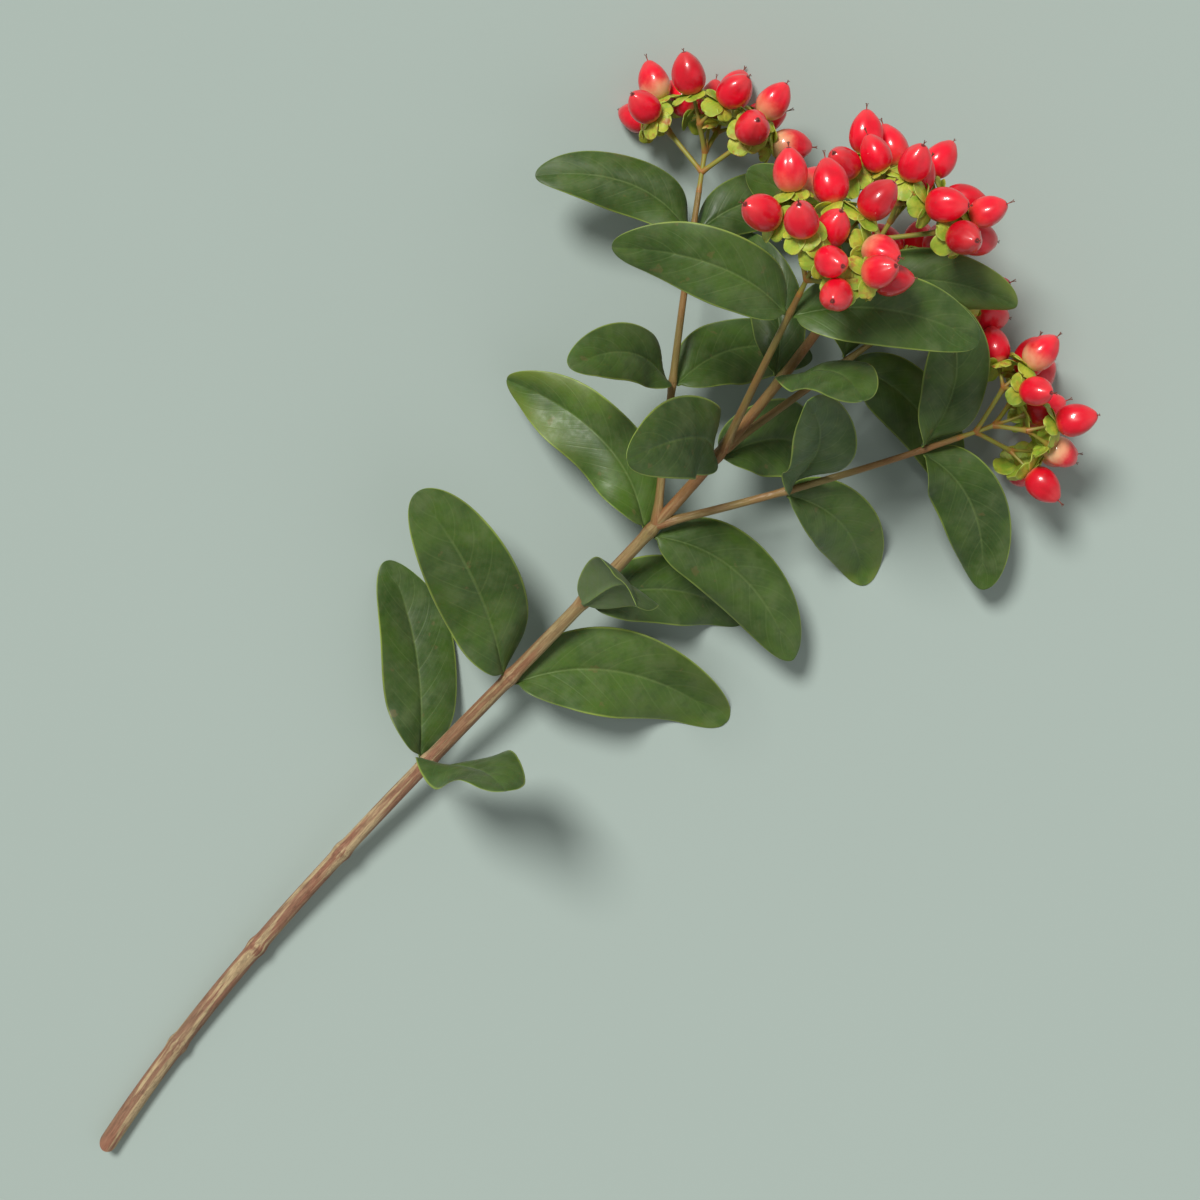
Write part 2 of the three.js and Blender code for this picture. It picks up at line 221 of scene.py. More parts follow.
def bump(value, width):
    """1 where the value is 0, and down to nothing a little over a width away."""
    return np.exp(-((value / width) ** 2))


def unit(vector):
    return vector / np.linalg.norm(vector)


def square(direction, axis):
    """The part of a direction that is square to an axis."""
    return unit(direction - axis * (direction @ axis))


def lean(direction, towards, degrees):
    """A direction turned towards another that is square to it."""
    return direction * math.cos(math.radians(degrees)) + towards * math.sin(math.radians(degrees))


def raised(point, lowest):
    return np.array([point[0], point[1], max(point[2], lowest)])


class Place(NamedTuple):
    """A place on a line, and the directions there."""

    at: np.ndarray
    along: np.ndarray
    up: np.ndarray
    left: np.ndarray

    def out(self, azimuth):
        return lean(self.left, self.up, azimuth)


class Line:
    """A Bezier curve, from 0 at its foot to 1 at its tip."""

    def __init__(self, *controls):
        self.controls = np.array(controls, float)

    def place(self, share):
        row = self.controls
        while len(row) > 2:
            row = mix(row[:-1], row[1:], share)
        along = unit(row[1] - row[0])
        up = square(UP, along)
        return Place(mix(row[0], row[1], share), along, up, np.cross(up, along))

    def length(self):
        points = np.array([self.place(share).at for share in np.linspace(0, 1, 65)])
        return np.linalg.norm(np.diff(points, axis=0), axis=1).sum()


class Limb(NamedTuple):
    """A woody stem or shoot."""

    line: Line
    root_radius: float
    tip_radius: float
    taper: float
    nodes: list

    def radius(self, share):
        return mix(self.root_radius, self.tip_radius, share**self.taper)


def plan_shoot(stem, node, azimuth, length):
    """The line of a shoot, from inside the stem above its leaf."""
    place = stem.line.place(node.at + SHOOT.above_leaf)
    out = place.out(azimuth)
    tip = place.at + out * SHOOT.out * length + place.along * SHOOT.along * length
    droop = SHOOT.droop * length * abs(math.cos(math.radians(azimuth)))
    tip = raised(tip - UP * droop, SHOOT.lowest_tip)
    stands_out, reaches = SHOOT.middle
    middle = place.at + out * stands_out * length + place.along * reaches * length
    return Line(place.at, raised(middle, SHOOT.lowest_middle), tip)


def plan_leaf(index, place, radius, azimuth, usual_length, usual_spread):
    """A leaf's midrib, how its blade is turned, and the numbers that shape it."""
    draws = Draws(index)
    out = place.out(azimuth)
    level = abs(math.cos(math.radians(azimuth)))
    spread = usual_spread + draws.between(-6, 8)
    length = usual_length * draws.between(0.9, 1.08)
    curl = draws.between(0.6, 1.6)
    base = place.at + out * (radius + GAP + LEAF.foot)
    middle = base + lean(place.along, out, spread - LEAF.recurve[0] * curl) * 0.5 * length
    tip = base + lean(place.along, out, spread + LEAF.recurve[1] * curl) * length - UP * 0.1 * length * level
    return Record(
        midrib=Line(base, raised(middle, LEAF.lowest_middle), raised(tip, LEAF.lowest_tip)),
        length=length,
        inner=lean(place.along, out, spread - 90),
        facing=0.85 * math.sqrt(level),
        half_width=0.5 * length * LEAF.width_share * draws.between(0.92, 1.1),
        shape={
            "Fold": draws.between(0.14, 0.46),
            "Arch": draws.between(0.1, 0.5),
            "Wave": draws.between(0.1, 0.28),
            "Waves": draws.between(0.9, 1.6),
            "Left": draws.between(0, 1),
            "Right": draws.between(0, 1),
        },
        twist=draws.between(-30, 30),
    )


def lowest_point(foot, axis, size):
    """How low a berry and its calyx reach, taken as discs square to their axis."""
    level = math.sqrt(1 - axis[2] ** 2)
    discs = [(up * BERRY.length, out * BERRY.radius) for up, out in BERRY_OUTLINE]
    reach = max(CALYX.lobes)
    discs.append((-CALYX.fall_back * reach**2, reach))
    return min(foot[2] + size * (up * axis[2] - radius * level) for up, radius in discs)


def plan_berry(draws, start, direction, stalk):
    """A berry, from the start of its stalk to the way it faces."""
    size = draws.between(*SPRAY.size)
    foot = start + direction * stalk * draws.between(0.9, 1.12)
    turn = draws.between(0, CALYX.sector)
    return Record(start=start, foot=foot, axis=direction, size=size, turn=turn)


def swing_apart(berries):
    """Berries that would touch swing apart on their stalks, and the lowest rise to clear the surface."""
    starts = np.array([berry.start for berry in berries])
    sizes = np.array([berry.size for berry in berries])
    axes = np.array([berry.axis for berry in berries])
    stalks = np.array([np.linalg.norm(berry.foot - berry.start) for berry in berries])
    shares, radii = np.array(BALLS).T
    reaches = stalks[:, None] + sizes[:, None] * shares * BERRY.length
    widths = (sizes[:, None] * radii).ravel()
    owners = np.repeat(np.arange(len(berries)), len(BALLS))
    for _ in range(CROWDING.rounds):
        balls = (starts[:, None] + axes[:, None] * reaches[:, :, None]).reshape(-1, 3)
        apart = balls[:, None] - balls
        distance = np.linalg.norm(apart, axis=2)
        overlap = np.maximum(widths[:, None] + widths - distance, 0)
        overlap[owners[:, None] == owners] = 0
        push = (apart * (overlap / np.maximum(distance, 1e-9))[:, :, None]).sum(1)
        swing = (push / reaches.reshape(-1, 1)).reshape(len(berries), len(BALLS), 3).sum(1) * CROWDING.ease
        for i, axis in enumerate(axes):
            low = lowest_point(starts[i] + axis * stalks[i], axis, sizes[i])
            swing[i, 2] += max(0, -low) / reaches[i, 1]
        axes = axes + swing
        axes /= np.linalg.norm(axes, axis=1)[:, None]
    for berry, axis, stalk in zip(berries, axes, stalks):
        foot = berry.start + axis * stalk
        for _ in range(CROWDING.lifts):
            foot = foot + UP * max(0, -lowest_point(foot, axis, berry.size))
            axis = unit(foot - berry.start)
        berry.foot = foot
        berry.axis = axis


def plan_spray(index, base, axis, turn, counts):
    """The forks and berries of a spray. It forks in pairs, each pair square to the last."""
    draws = Draws(SEEDS.sprays + index)
    top = base + axis * SPRAY.middle.at
    forks = [(base, top)]
    berries = [plan_berry(draws, top, axis, SPRAY.middle.stalk)]
    upright = square(UP, axis)
    for i, count in enumerate(counts):
        fork = SPRAY.low if i < 2 else SPRAY.high
        way = lean(upright, np.cross(axis, upright), turn + (0 if i < 2 else 90) + (180 if i % 2 else 0))
        start = base + axis * fork.at
        end = start + lean(axis, way, fork.leans) * fork.length * draws.between(0.92, 1.1)
        end = raised(end, SPRAY.lowest_fork)
        forks.append((start, end))
        direction = lean(axis, way, fork.berry_leans + draws.between(-5, 5))
        across = np.cross(direction, way)
        berries.append(plan_berry(draws, end, direction, SPRAY.stalk))
        for k in range(1, count):
            angle = (1 if k % 2 else -1) * draws.between(*SPRAY.apart)
            berries.append(plan_berry(draws, end, lean(direction, across, angle), SPRAY.stalk))
    return Record(forks=forks, berries=berries)


def plan_plant():
    """The whole plant: its limbs, its leaves and its sprays, in the order that they are numbered."""
    nodes = [node.at for node in NODES]
    stem = Limb(Line(*STEM.path), STEM.cut_radius, STEM.tip_radius, STEM.taper, [*BARE_NODES, *nodes])
    plant = Record(limbs=[stem], leaves=[], sprays=[])

    def add_pair(place, radius, pair, length, spread):
        for azimuth in pair:
            plant.leaves.append(plan_leaf(len(plant.leaves) + 1, place, radius, azimuth, length, spread))

    def add_spray(line, turn, counts):
        place = line.place(1)
        base = place.at + place.along * (GAP + SPRAY.foot)
        plant.sprays.append(plan_spray(len(plant.sprays) + 1, base, place.along, turn, counts))

    for node in NODES:
        spread = LEAF.spread_under_shoot if node.shoots else LEAF.spread
        add_pair(stem.line.place(node.at), stem.radius(node.at), node.pair, node.leaf, spread)
        for azimuth, shoot in zip(node.pair, node.shoots):
            line = plan_shoot(stem, node, azimuth, shoot.length)
            nodes = [at for at, _ in shoot.nodes]
            limb = Limb(line, SHOOT.root_radius, SHOOT.tip_radius, SHOOT.taper, nodes)
            plant.limbs.append(limb)
            for at, pair in shoot.nodes:
                add_pair(line.place(at), limb.radius(at), pair, SHOOT.leaf, SHOOT.leaf_spread)
            add_spray(line, shoot.turn, SPRAY.on_shoot)
    add_spray(stem.line, TOP_TURN, SPRAY.on_stem)
    swing_apart([berry for spray in plant.sprays for berry in spray.berries])
    return plant


PLANT = plan_plant()


def metres(points):
    """Places in the plan as places here."""
    return (np.array(points) - CENTRE) * MM


# ---- Node trees written as formulas ----
def sign(operation):
    """One of Python's signs, as a method that stands between two terms."""
    return lambda self, other: self.graph.math(operation, self, other)


class Term:
    """An output of a node that can stand in a formula."""

    __add__ = __radd__ = sign("ADD")
    __sub__ = sign("SUBTRACT")
    __mul__ = __rmul__ = sign("MULTIPLY")
    __truediv__ = sign("DIVIDE")
    __pow__ = sign("POWER")
    __lt__ = sign("LESS_THAN")
    __gt__ = sign("GREATER_THAN")

    def __init__(self, graph, socket):
        self.graph = graph
        self.socket = socket

    def __getitem__(self, name):
        """Another output of the same node."""
        outputs = self.socket.node.outputs
        return Term(self.graph, next(s for s in outputs if s.enabled and s.name == name))

    def __rsub__(self, other):
        return self.graph.math("SUBTRACT", other, self)

    def __neg__(self):
        return self * -1.0

    def __abs__(self):
        return self.graph.math("ABSOLUTE", self)


def is_vector(value):
    if isinstance(value, Term):
        return value.socket.type in ("VECTOR", "RGBA")
    return isinstance(value, tuple)


class Graph:
    """A node tree. Calling it adds a node and gives the node's first output."""

    def __init__(self, tree):
        self.tree = tree

    def __call__(self, kind, inputs=None, **settings):
        node = self.tree.nodes.new(kind)
        for name, value in settings.items():
            setattr(node, name, value)
        for name, value in (inputs or {}).items():
            self.feed(next(s for s in node.inputs if s.enabled and s.name == name), value)
        return Term(self, next((s for s in node.outputs if s.enabled), None))

    def feed(self, socket, value):
        if isinstance(value, Term):
            self.tree.links.new(value.socket, socket)
        else:
            socket.default_value = value

    def math(self, operation, *values):
        vectors = [is_vector(value) for value in values]
        node = self.tree.nodes.new("ShaderNodeVectorMath" if any(vectors) else "ShaderNodeMath")
        if operation == "MULTIPLY" and any(vectors) and not all(vectors):
            operation = "SCALE"
            values = sorted(values, key=is_vector, reverse=True)
        node.operation = operation
        for socket, value in zip([s for s in node.inputs if s.enabled], values):
            self.feed(socket, value)
        return Term(self, next(s for s in node.outputs if s.enabled))

    def xyz(self, x, y, z):
        return self("ShaderNodeCombineXYZ", {"X": x, "Y": y, "Z": z})

    def parts(self, vector):
        split = self("ShaderNodeSeparateXYZ", {"Vector": vector})
        return split, split["Y"], split["Z"]

    def smooth(self, value, low, high):
        """0 below low and 1 above high, with an even bend between them. High may be the lesser."""
        inputs = {"Value": value, "From Min": low, "From Max": high}
        return self("ShaderNodeMapRange", inputs, interpolation_type="SMOOTHSTEP")

    def bump(self, value, width):
        """1 where the value is 0, and down to nothing a little over a width away."""
        share = value / width
        return self.math("EXPONENT", -(share * share))

    def blunt(self, value, power):
        """1 along most of the way from -1 to 1, and rounded down to 0 at both ends."""
        return self.math("SQRT", 1 - self.math("POWER", abs(value), power))

    def line(self, value, low, high):
        """Lines, by how far a value is from halfway between whole numbers: 0 at low and 1 at high."""
        return self.smooth(abs(self.math("FRACT", value) - 0.5), low, high)

    def mix(self, a, b, share):
        return self("ShaderNodeMix", {"Factor": share, "A": a, "B": b})

    def layers(self, base, *layers):
        """A colour with others laid over it, each with its share."""
        for over, share in layers:
            pair = [value if isinstance(value, Term) else (*value, 1.0) for value in (base, over)]
            base = self("ShaderNodeMix", {"Factor": share, "A": pair[0], "B": pair[1]}, data_type="RGBA")
        return base

    def noise(self, vector, scale, detail=2.0, roughness=0.5):
        inputs = {"Vector": vector, "Scale": scale, "Detail": detail, "Roughness": roughness}
        return self("ShaderNodeTexNoise", inputs)


SOCKETS = {float: "NodeSocketFloat", int: "NodeSocketInt", tuple: "NodeSocketVector"}


class Group(Graph):
    """A new node group, whose inputs its formulas find in given."""

    def __init__(self, kind, name, inputs, **outputs):
        super().__init__(bpy.data.node_groups.new(name, kind))
        for key, default in inputs.items():
            plug = SOCKETS.get(type(default), default)
            socket = self.tree.interface.new_socket(key, in_out="INPUT", socket_type=plug)
            if plug != default:
                socket.default_value = default
        for key, plug in outputs.items():
            self.tree.interface.new_socket(key, in_out="OUTPUT", socket_type=plug)
        self.given = self("NodeGroupInput")

    def give(self, **values):
        self("NodeGroupOutput", values)
        return self.tree


VECTOR = "FLOAT_VECTOR"


class Growth(Group):
    """A geometry tree that grows one kind of piece from a guide mesh."""

    def __init__(self, name, **defaults):
        inputs = {"Guide": "NodeSocketGeometry", **defaults, "Finish": "NodeSocketMaterial"}
        super().__init__("GeometryNodeTree", name, inputs, Grown="NodeSocketGeometry")

    def read(self, name, kind="FLOAT"):
        return self("GeometryNodeInputNamedAttribute", {"Name": name}, data_type=kind)

    def store(self, geometry, name, value):
        inputs = {"Geometry": geometry, "Name": name, "Value": value}
        kind = VECTOR if is_vector(value) else "FLOAT"
        return self("GeometryNodeStoreNamedAttribute", inputs, data_type=kind, domain="POINT")

    def at_row(self, row, field):
        """What a field says at the guide's point that has a row's number."""
        inputs = {"Geometry": self.given, "Value": field, "Index": row}
        kind = VECTOR if is_vector(field) else "FLOAT"
        return self("GeometryNodeSampleIndex", inputs, data_type=kind)

    def position(self):
        return self("GeometryNodeInputPosition")

    def place(self, geometry, **where):
        return self("GeometryNodeSetPosition", {"Geometry": geometry, **where})

    def real(self, geometry):
        return self("GeometryNodeRealizeInstances", {"Geometry": geometry})

    def merged(self, geometry):
        """Geometry whose doubled points, at its seams and tips, are one."""
        return self("GeometryNodeMergeByDistance", {"Geometry": geometry, "Distance": 2e-6})

    def on_guide(self, instance):
        """A copy of an instance at each point of the guide, turned, sized and stretched as it says there."""
        size = self.read("size")
        return self.real(self("GeometryNodeInstanceOnPoints", {
            "Points": self.given,
            "Instance": instance,
            "Rotation": self.read("rotation", "QUATERNION"),
            "Scale": self.xyz(size, size, size * self.read("stretch")),
        }))

    def circle(self, sides):
        return self("GeometryNodeCurvePrimitiveCircle", {"Resolution": sides, "Radius": 1.0})

    def tube(self, line, profile, radius):
        inputs = {"Curve": line, "Profile Curve": profile, "Scale": radius, "Fill Caps": True}
        return self("GeometryNodeCurveToMesh", inputs)

    def end(self, geometry, floor=0.0):
        """The end of every tree: no point lower than the floor, and real, smooth faces with their finish."""
        x, y, z = self.parts(self.position())
        lifted = self.place(geometry, Position=self.xyz(x, y, self.math("MAXIMUM", z, floor)))
        smooth_faces = self("GeometryNodeSetShadeSmooth", {"Geometry": self.real(lifted)})
        inputs = {"Geometry": smooth_faces, "Material": self.given["Finish"]}
        return self.give(Grown=self("GeometryNodeSetMaterial", inputs))


ATTRIBUTE_KINDS = {1: ("FLOAT", "value"), 3: (VECTOR, "vector"), 4: ("QUATERNION", "value")}


def guide_mesh(points, edges=(), faces=(), **attributes):
    """A mesh with points in metres and values at each of them. A tree grows a piece from such a mesh."""
    mesh = bpy.data.meshes.new("guide")
    mesh.from_pydata(*([tuple(item) for item in items] for items in (points, edges, faces)))
    for name, values in attributes.items():
        values = np.array(values, np.float32).reshape(len(points), -1)
        kind, field = ATTRIBUTE_KINDS[values.shape[1]]
        mesh.attributes.new(name, kind, "POINT").data.foreach_set(field, values.ravel())
    return mesh


def add_piece(name, mesh):
    """A new object in the scene, in place of any that has its name."""
    if name in bpy.data.objects:
        bpy.data.objects.remove(bpy.data.objects[name])
    mesh.name = name
    piece = bpy.data.objects.new(name, mesh)
    bpy.context.scene.collection.objects.link(piece)
    return piece


def grow(name, guide, tree, inputs):
    """The plain mesh piece that a tree grows from a guide."""
    seed = add_piece("guide", guide)
    modifier = seed.modifiers.new("growth", "NODES")
    modifier.node_group = tree
    for item in tree.interface.items_tree:
        if item.in_out == "INPUT" and item.name in inputs:
            modifier[item.identifier] = inputs[item.name]
    bpy.context.view_layer.update()
    depsgraph = bpy.context.evaluated_depsgraph_get()
    mesh = bpy.data.meshes.new_from_object(seed.evaluated_get(depsgraph))
    bpy.data.objects.remove(seed)
    bpy.data.meshes.remove(guide)
    return add_piece(name, mesh)


def settle_piece(piece, slot, *nodes):
    """Puts a piece on the plant's one body, in place of the nodes that it stands for."""
    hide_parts(*nodes)
    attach(piece, "root")


# ---- Growth trees ----
def limb_tree():
    """Round limbs along the guide's lines. The guide says how thick they are, and how far a slanting cut
    shears them."""
    g = Growth("Round limbs", Sides=12, Relief=0.0, Grain=600.0)
    curve = g("GeometryNodeMeshToCurve", {"Mesh": g.given})
    curve = g("GeometryNodeSetCurveNormal", {"Curve": curve}, mode="Z_UP")
    curve = g.store(curve, "reach", g("GeometryNodeSplineParameter")["Length"])
    curve = g.store(curve, "middle", g.position())
    radius = g.read("thick")
    profile = g.store(g.circle(g.given["Sides"]), "round", g.position())
    tube = g.tube(curve, profile, radius)
    x, y, _ = g.parts(g.read("round", VECTOR))
    tube = g.store(tube, "grain", g.xyz(x * radius, y * radius, g.read("reach")))
    _, _, rise = g.parts(g.position() - g.read("middle", VECTOR))
    sheared = g.read("along", VECTOR) * (g.read("shear") * rise)
    stretched = g.read("grain", VECTOR) * (1.0, 1.0, 0.06)
    relief = (g.noise(stretched, g.given["Grain"], 3.0, 0.6) - 0.5) * g.given["Relief"] * g.read("rough")
    return g.end(g.place(tube, Offset=sheared + g("GeometryNodeInputNormal") * relief))


def closed_blade(g, rows, steps):
    """A closed sheet to shape into a blade, with as many steps from its rib to an edge as are asked for. Its
    attribute blade holds the row along it, the place across it from -1 to 1, and 1 on its upper face or 0 on
    its lower."""
    dense = 0.85  # how much closer together the points are at the rib and at the edges
    around = 4 * steps + 1
    inputs = {"Size X": 1.0, "Size Y": 1.0, "Vertices X": rows, "Vertices Y": around}
    index = g("GeometryNodeInputIndex")
    row = g.math("FLOOR", (index + 0.5) / around)
    turn = (index - row * around) / (around - 1)
    even = abs(turn * 2 - 1) * 2 - 1
    across = even - g.math("SINE", even * math.tau) * (dense / math.tau)
    return g.store(g("GeometryNodeMeshGrid", inputs), "blade", g.xyz(row, across, turn < 0.5))


def settled(g, height, floor, soft):
    """A height kept at or above the floor, bending smoothly where it comes near."""
    over = height - floor
    reach = g.math("MAXIMUM", over + soft, 0.0)
    bent = floor + reach * reach / (4 * soft)
    return g.mix(height, bent, over < soft)


def vein_place(g, u, v, pairs):
    """A number that is whole along each side vein. The veins leave the rib at an angle and bend towards the
    tip."""
    away = abs(v)
    return (u - away * 0.2 - away * away * 0.08) * pairs


def leaf_tree():
    """One leaf blade along its midrib, folded at the rib, arched down to the edges and waved along them,
    with its veins sunk in above and its midrib standing out below."""
    g = Growth(
        "Leaf blade", Fold=0.25, Arch=0.2, Wave=0.1, Waves=1.0, Left=0.0, Right=0.0, Thickness=0.0004,
        Rib=0.0003, Veins=0.0001, Pairs=7.0, Dents=0.0006,
    )
    given = g.given
    rows = g("GeometryNodeAttributeDomainSize", {"Geometry": given})
    sheet = closed_blade(g, rows, steps=13)
    row, v, upper = g.parts(g.read("blade", VECTOR))
    u, half, stout = [g.at_row(row, g.read(name)) for name in ("share", "half", "stout")]
    side, normal = [g.at_row(row, g.read(name, VECTOR)) for name in ("side", "normal")]
    flat = g.at_row(row, g.position()) + side * (half * v)

    phase = g.mix(given["Left"], given["Right"], v > 0)
    ripple = given["Wave"] * g.math("SINE", (given["Waves"] * u + phase) * math.tau) * v * v
    ripple = ripple * g.smooth(u, 0.0, 0.3)
    soft_fold = g.math("SQRT", v * v + 0.006) - 0.077
    rise = half * (given["Fold"] * soft_fold - given["Arch"] * v * v + ripple)

    open_blade = g.smooth(u, -0.02, 0.06)
    rib = g.bump(v * half, 0.0005) * given["Rib"] * (1.1 - u) * open_blade
    crease = (g.math("COSINE", vein_place(g, u, v, given["Pairs"]) * math.tau) * 0.5 + 0.5) ** 5.0
    crease = crease * (1 - v**8.0) * open_blade * g.smooth(u, 1.0, 0.85) * given["Veins"]
    uneven = g.noise(flat, 75.0) - 0.5
    rise = rise - rib - crease + uneven * given["Dents"] * 2 * g.smooth(u, 0.02, 0.2)
    x, y, z = g.parts(flat + normal * rise)

    edge = g.blunt(v, 8.0)
    ends = g.blunt(2 * row / (rows - 1) - 1, 20.0)
    thick = given["Thickness"] * 0.5 * stout * edge * ends
    keel = rib * 1.1 * (1 - upper) * edge * ends
    face = g.mix(-(thick + keel), thick, upper)
    z = settled(g, z, given["Thickness"] * 0.5, 0.002)
    sheet = g.place(sheet, Position=g.xyz(x, y, z) + normal * face)
    sheet = g.store(sheet, "blade", g.xyz(u, v, upper))
    return g.end(g.merged(sheet), LOWEST.leaf * MM)


def berry_tree():
    """Egg-shaped berries with three blunt sides, shallow seams and a small drawn-out tip."""
    g = Growth(
        "Berries", Segments=27, Rings=20, Radius=0.005, Length=0.012, Egg=0.12, Lobes=0.04, Seams=0.0001,
        Beak=0.001, Foot=0.0003,
    )
    given = g.given
    inputs = {"Segments": given["Segments"], "Rings": given["Rings"], "Radius": 1.0}
    ball = g("GeometryNodeMeshUVSphere", inputs)
    x, y, z = g.parts(g.position())
    height = z * 0.5 + 0.5
    angle = g.math("ARCTAN2", y, x)
    trefoil = g.math("COSINE", angle * 3)
    widest = 1.008  # what the formula for wide gives at its greatest
    wide = g.math("MAXIMUM", 1 - z * z, 0.0) ** 0.45 * (1 - given["Egg"] * z) / widest
    lobed = 1 + given["Lobes"] * trefoil * (height * 0.65 + 0.35)
    seam = (0.5 - trefoil * 0.5) ** 12.0 * given["Seams"] * g.smooth(height, 0.35, 0.8) * wide
    radius = given["Radius"] * wide * lobed - seam
    beak = g.math("MAXIMUM", height - 0.88, 0.0) / 0.12
    up = given["Foot"] + (given["Length"] - given["Foot"]) * height + given["Beak"] * beak * beak
    shaped = g.xyz(g.math("COSINE", angle) * radius, g.math("SINE", angle) * radius, up)
    berry = g.place(g.store(ball, "height", height), Position=shaped)
    return g.end(g.on_guide(g.store(berry, "local", g.position())), LOWEST.berry * MM)


def calyx_tree():
    """Calyces of five broad sepals that overlap like tiles and fall back from under the berry."""
    g = Growth(
        "Calyces", Root=0.0006, Breadth=0.0034, Cup=0.0006, Overlap=0.14, Thickness=0.0003, Fall=50.0,
        Unlike=0.8, Crumple=0.0024,
    )
    given = g.given
    rows = 11
    sheet = closed_blade(g, rows, steps=5)
    row, v, upper = g.parts(g.read("blade", VECTOR))
    s = 0.5 - g.math("COSINE", row / (rows - 1) * math.pi) * 0.5
    sheet = g.store(sheet, "blade", g.xyz(s, v, upper))

    points = g("GeometryNodePoints", {"Count": len(CALYX.lobes)})
    lobe = g("GeometryNodeInputIndex")
    reach = g("GeometryNodeIndexSwitch", {"Index": lobe}, data_type="FLOAT")
    switch = reach.socket.node
    while len(switch.index_switch_items) < len(CALYX.lobes):
        switch.index_switch_items.new()
    for i, length in enumerate(CALYX.lobes):
        switch.inputs[i + 1].default_value = length * MM
    points = g.store(g.store(points, "reach", reach), "lobe", lobe)
    sepals = g.real(g("GeometryNodeInstanceOnPoints", {"Points": points, "Instance": sheet}))

    s, v, upper = g.parts(g.read("blade", VECTOR))
    lobe = g.read("lobe")
    x = given["Root"] + (g.read("reach") + 0.0003 - given["Root"]) * s
    outline = (s + 0.05) ** 0.6 * g.math("MAXIMUM", 1.0005 - s, 0.0) ** 0.42
    widest = 0.527  # what the outline is at its greatest
    uneven = g.noise(g.xyz(s * 2.5, lobe * 7.3, (v > 0) * 5.0), 1.0)
    y = given["Breadth"] * outline / widest * (0.84 + uneven * 0.32) * -v
    thick = given["Thickness"] * 0.5 * g.blunt(v, 8.0) * g.blunt(s * 2 - 1, 16.0)
    keel = g.bump(y, 0.0004) * 0.00012 * (1 - s)
    z = given["Cup"] * v * v * g.math("SINE", s * math.pi) + y * given["Overlap"] + keel
    z = z + g.mix(-thick, thick, upper) + 0.0004
    angle = lobe * math.radians(CALYX.sector)
    inputs = {"Vector": g.xyz(x, y, z), "Center": (0.0, 0.0, 0.0), "Angle": angle}
    turned = g("ShaderNodeVectorRotate", inputs, rotation_type="Z_AXIS")
    sepals = g.store(g.place(sepals, Position=turned), "from_axis", g.math("SQRT", x * x + y * y))

    whole = g.on_guide(g.merged(sepals))
    r = g.read("from_axis") * g.read("size")
    number = g.read("tone") * 100
    own = g.xyz(lobe, number, 0.0)
    bend = g("ShaderNodeTexWhiteNoise", {"Vector": own}) * given["Unlike"] * 2 + (1 - given["Unlike"])
    whole = g.store(whole, "sepal", g("ShaderNodeTexWhiteNoise", {"Vector": own * 1.7}))
    back = given["Fall"] * g.read("fall") * bend * r * r
    creased = g.noise(g.xyz(s * 2.2, v * 1.5, lobe * 7.3 + number), 1.0) - 0.5
    along = creased * given["Crumple"] * g.smooth(s, 0.15, 0.8) - back
    return g.end(g.place(whole, Offset=g.read("axis", VECTOR) * along), LOWEST.calyx * MM)


def style_tree():
    """The three dried styles at each berry's tip: threads that part from one point, with tiny knobs."""
    threads = 3
    g = Growth("Styles", Length=0.002, Spread=0.0004, Radius=0.00012)
    given = g.given
    bent = g.xyz(0.0, 0.0, given["Length"] * 0.6)
    top = g.xyz(given["Spread"], 0.0, given["Length"])
    inputs = {"Resolution": 7, "Start": (0.0, 0.0, -0.0003), "Middle": bent, "End": top}
    line = g("GeometryNodeCurveQuadraticBezier", inputs)
    line = g.store(line, "share", g("GeometryNodeSplineParameter"))
    along = g.read("share")
    radius = given["Radius"] * (1.5 - along * 0.8 + g.smooth(along, 0.85, 0.95) * 0.7)
    third = g("GeometryNodeInputIndex") * math.radians(360 / threads)
    turn = g("FunctionNodeAxisAngleToRotation", {"Axis": (0.0, 0.0, 1.0), "Angle": third})
    points = g("GeometryNodePoints", {"Count": threads})
    inputs = {"Points": points, "Instance": g.tube(line, g.circle(6), radius), "Rotation": turn}
    threads = g.real(g("GeometryNodeInstanceOnPoints", inputs))
    return g.end(g.on_guide(threads), LOWEST.styles * MM)


# ---- Finishes ----
class Finish(Graph):
    """A material around one Principled shader, whose patterns are written as formulas."""

    def __init__(self, name, **constants):
        self.material = bpy.data.materials.new(name)
        self.material.use_nodes = True
        super().__init__(self.material.node_tree)
        self.paint(**constants)

    def paint(self, **values):
        """Feeds the shader's inputs, and gives the material."""
        shader = self.tree.nodes["Principled BSDF"]
        for key, value in values.items():
            self.feed(shader.inputs[key.replace("_", " ")], value)
        return self.material

    def relief(self, height, strength, distance):
        """Fine relief from a height between 0 and 1."""
        inputs = {"Height": height, "Strength": strength, "Distance": distance}
        self.paint(Normal=self("ShaderNodeBump", inputs))

    def read(self, name, output="Fac"):
        """An attribute of the piece: its number, or its Vector where that output is named."""
        return self("ShaderNodeAttribute", attribute_name=name)[output]

    def place(self):
        return self("ShaderNodeTexCoord")["Object"]

    def use(self, effect, **inputs):
        """The first output of a shared effect, which is built when a finish first uses it."""
        node = self.tree.nodes.new("ShaderNodeGroup")
        node.node_tree = bpy.data.node_groups.get(effect) or EFFECTS[effect]()
        for name, value in inputs.items():
            self.feed(node.inputs[name], value)
        return Term(self, node.outputs[0])

    def patches(self, place, scale, low, high):
        return self.use("Patches", Place=place, Scale=scale, From=low, To=high)


NUMBER = "NodeSocketFloat"


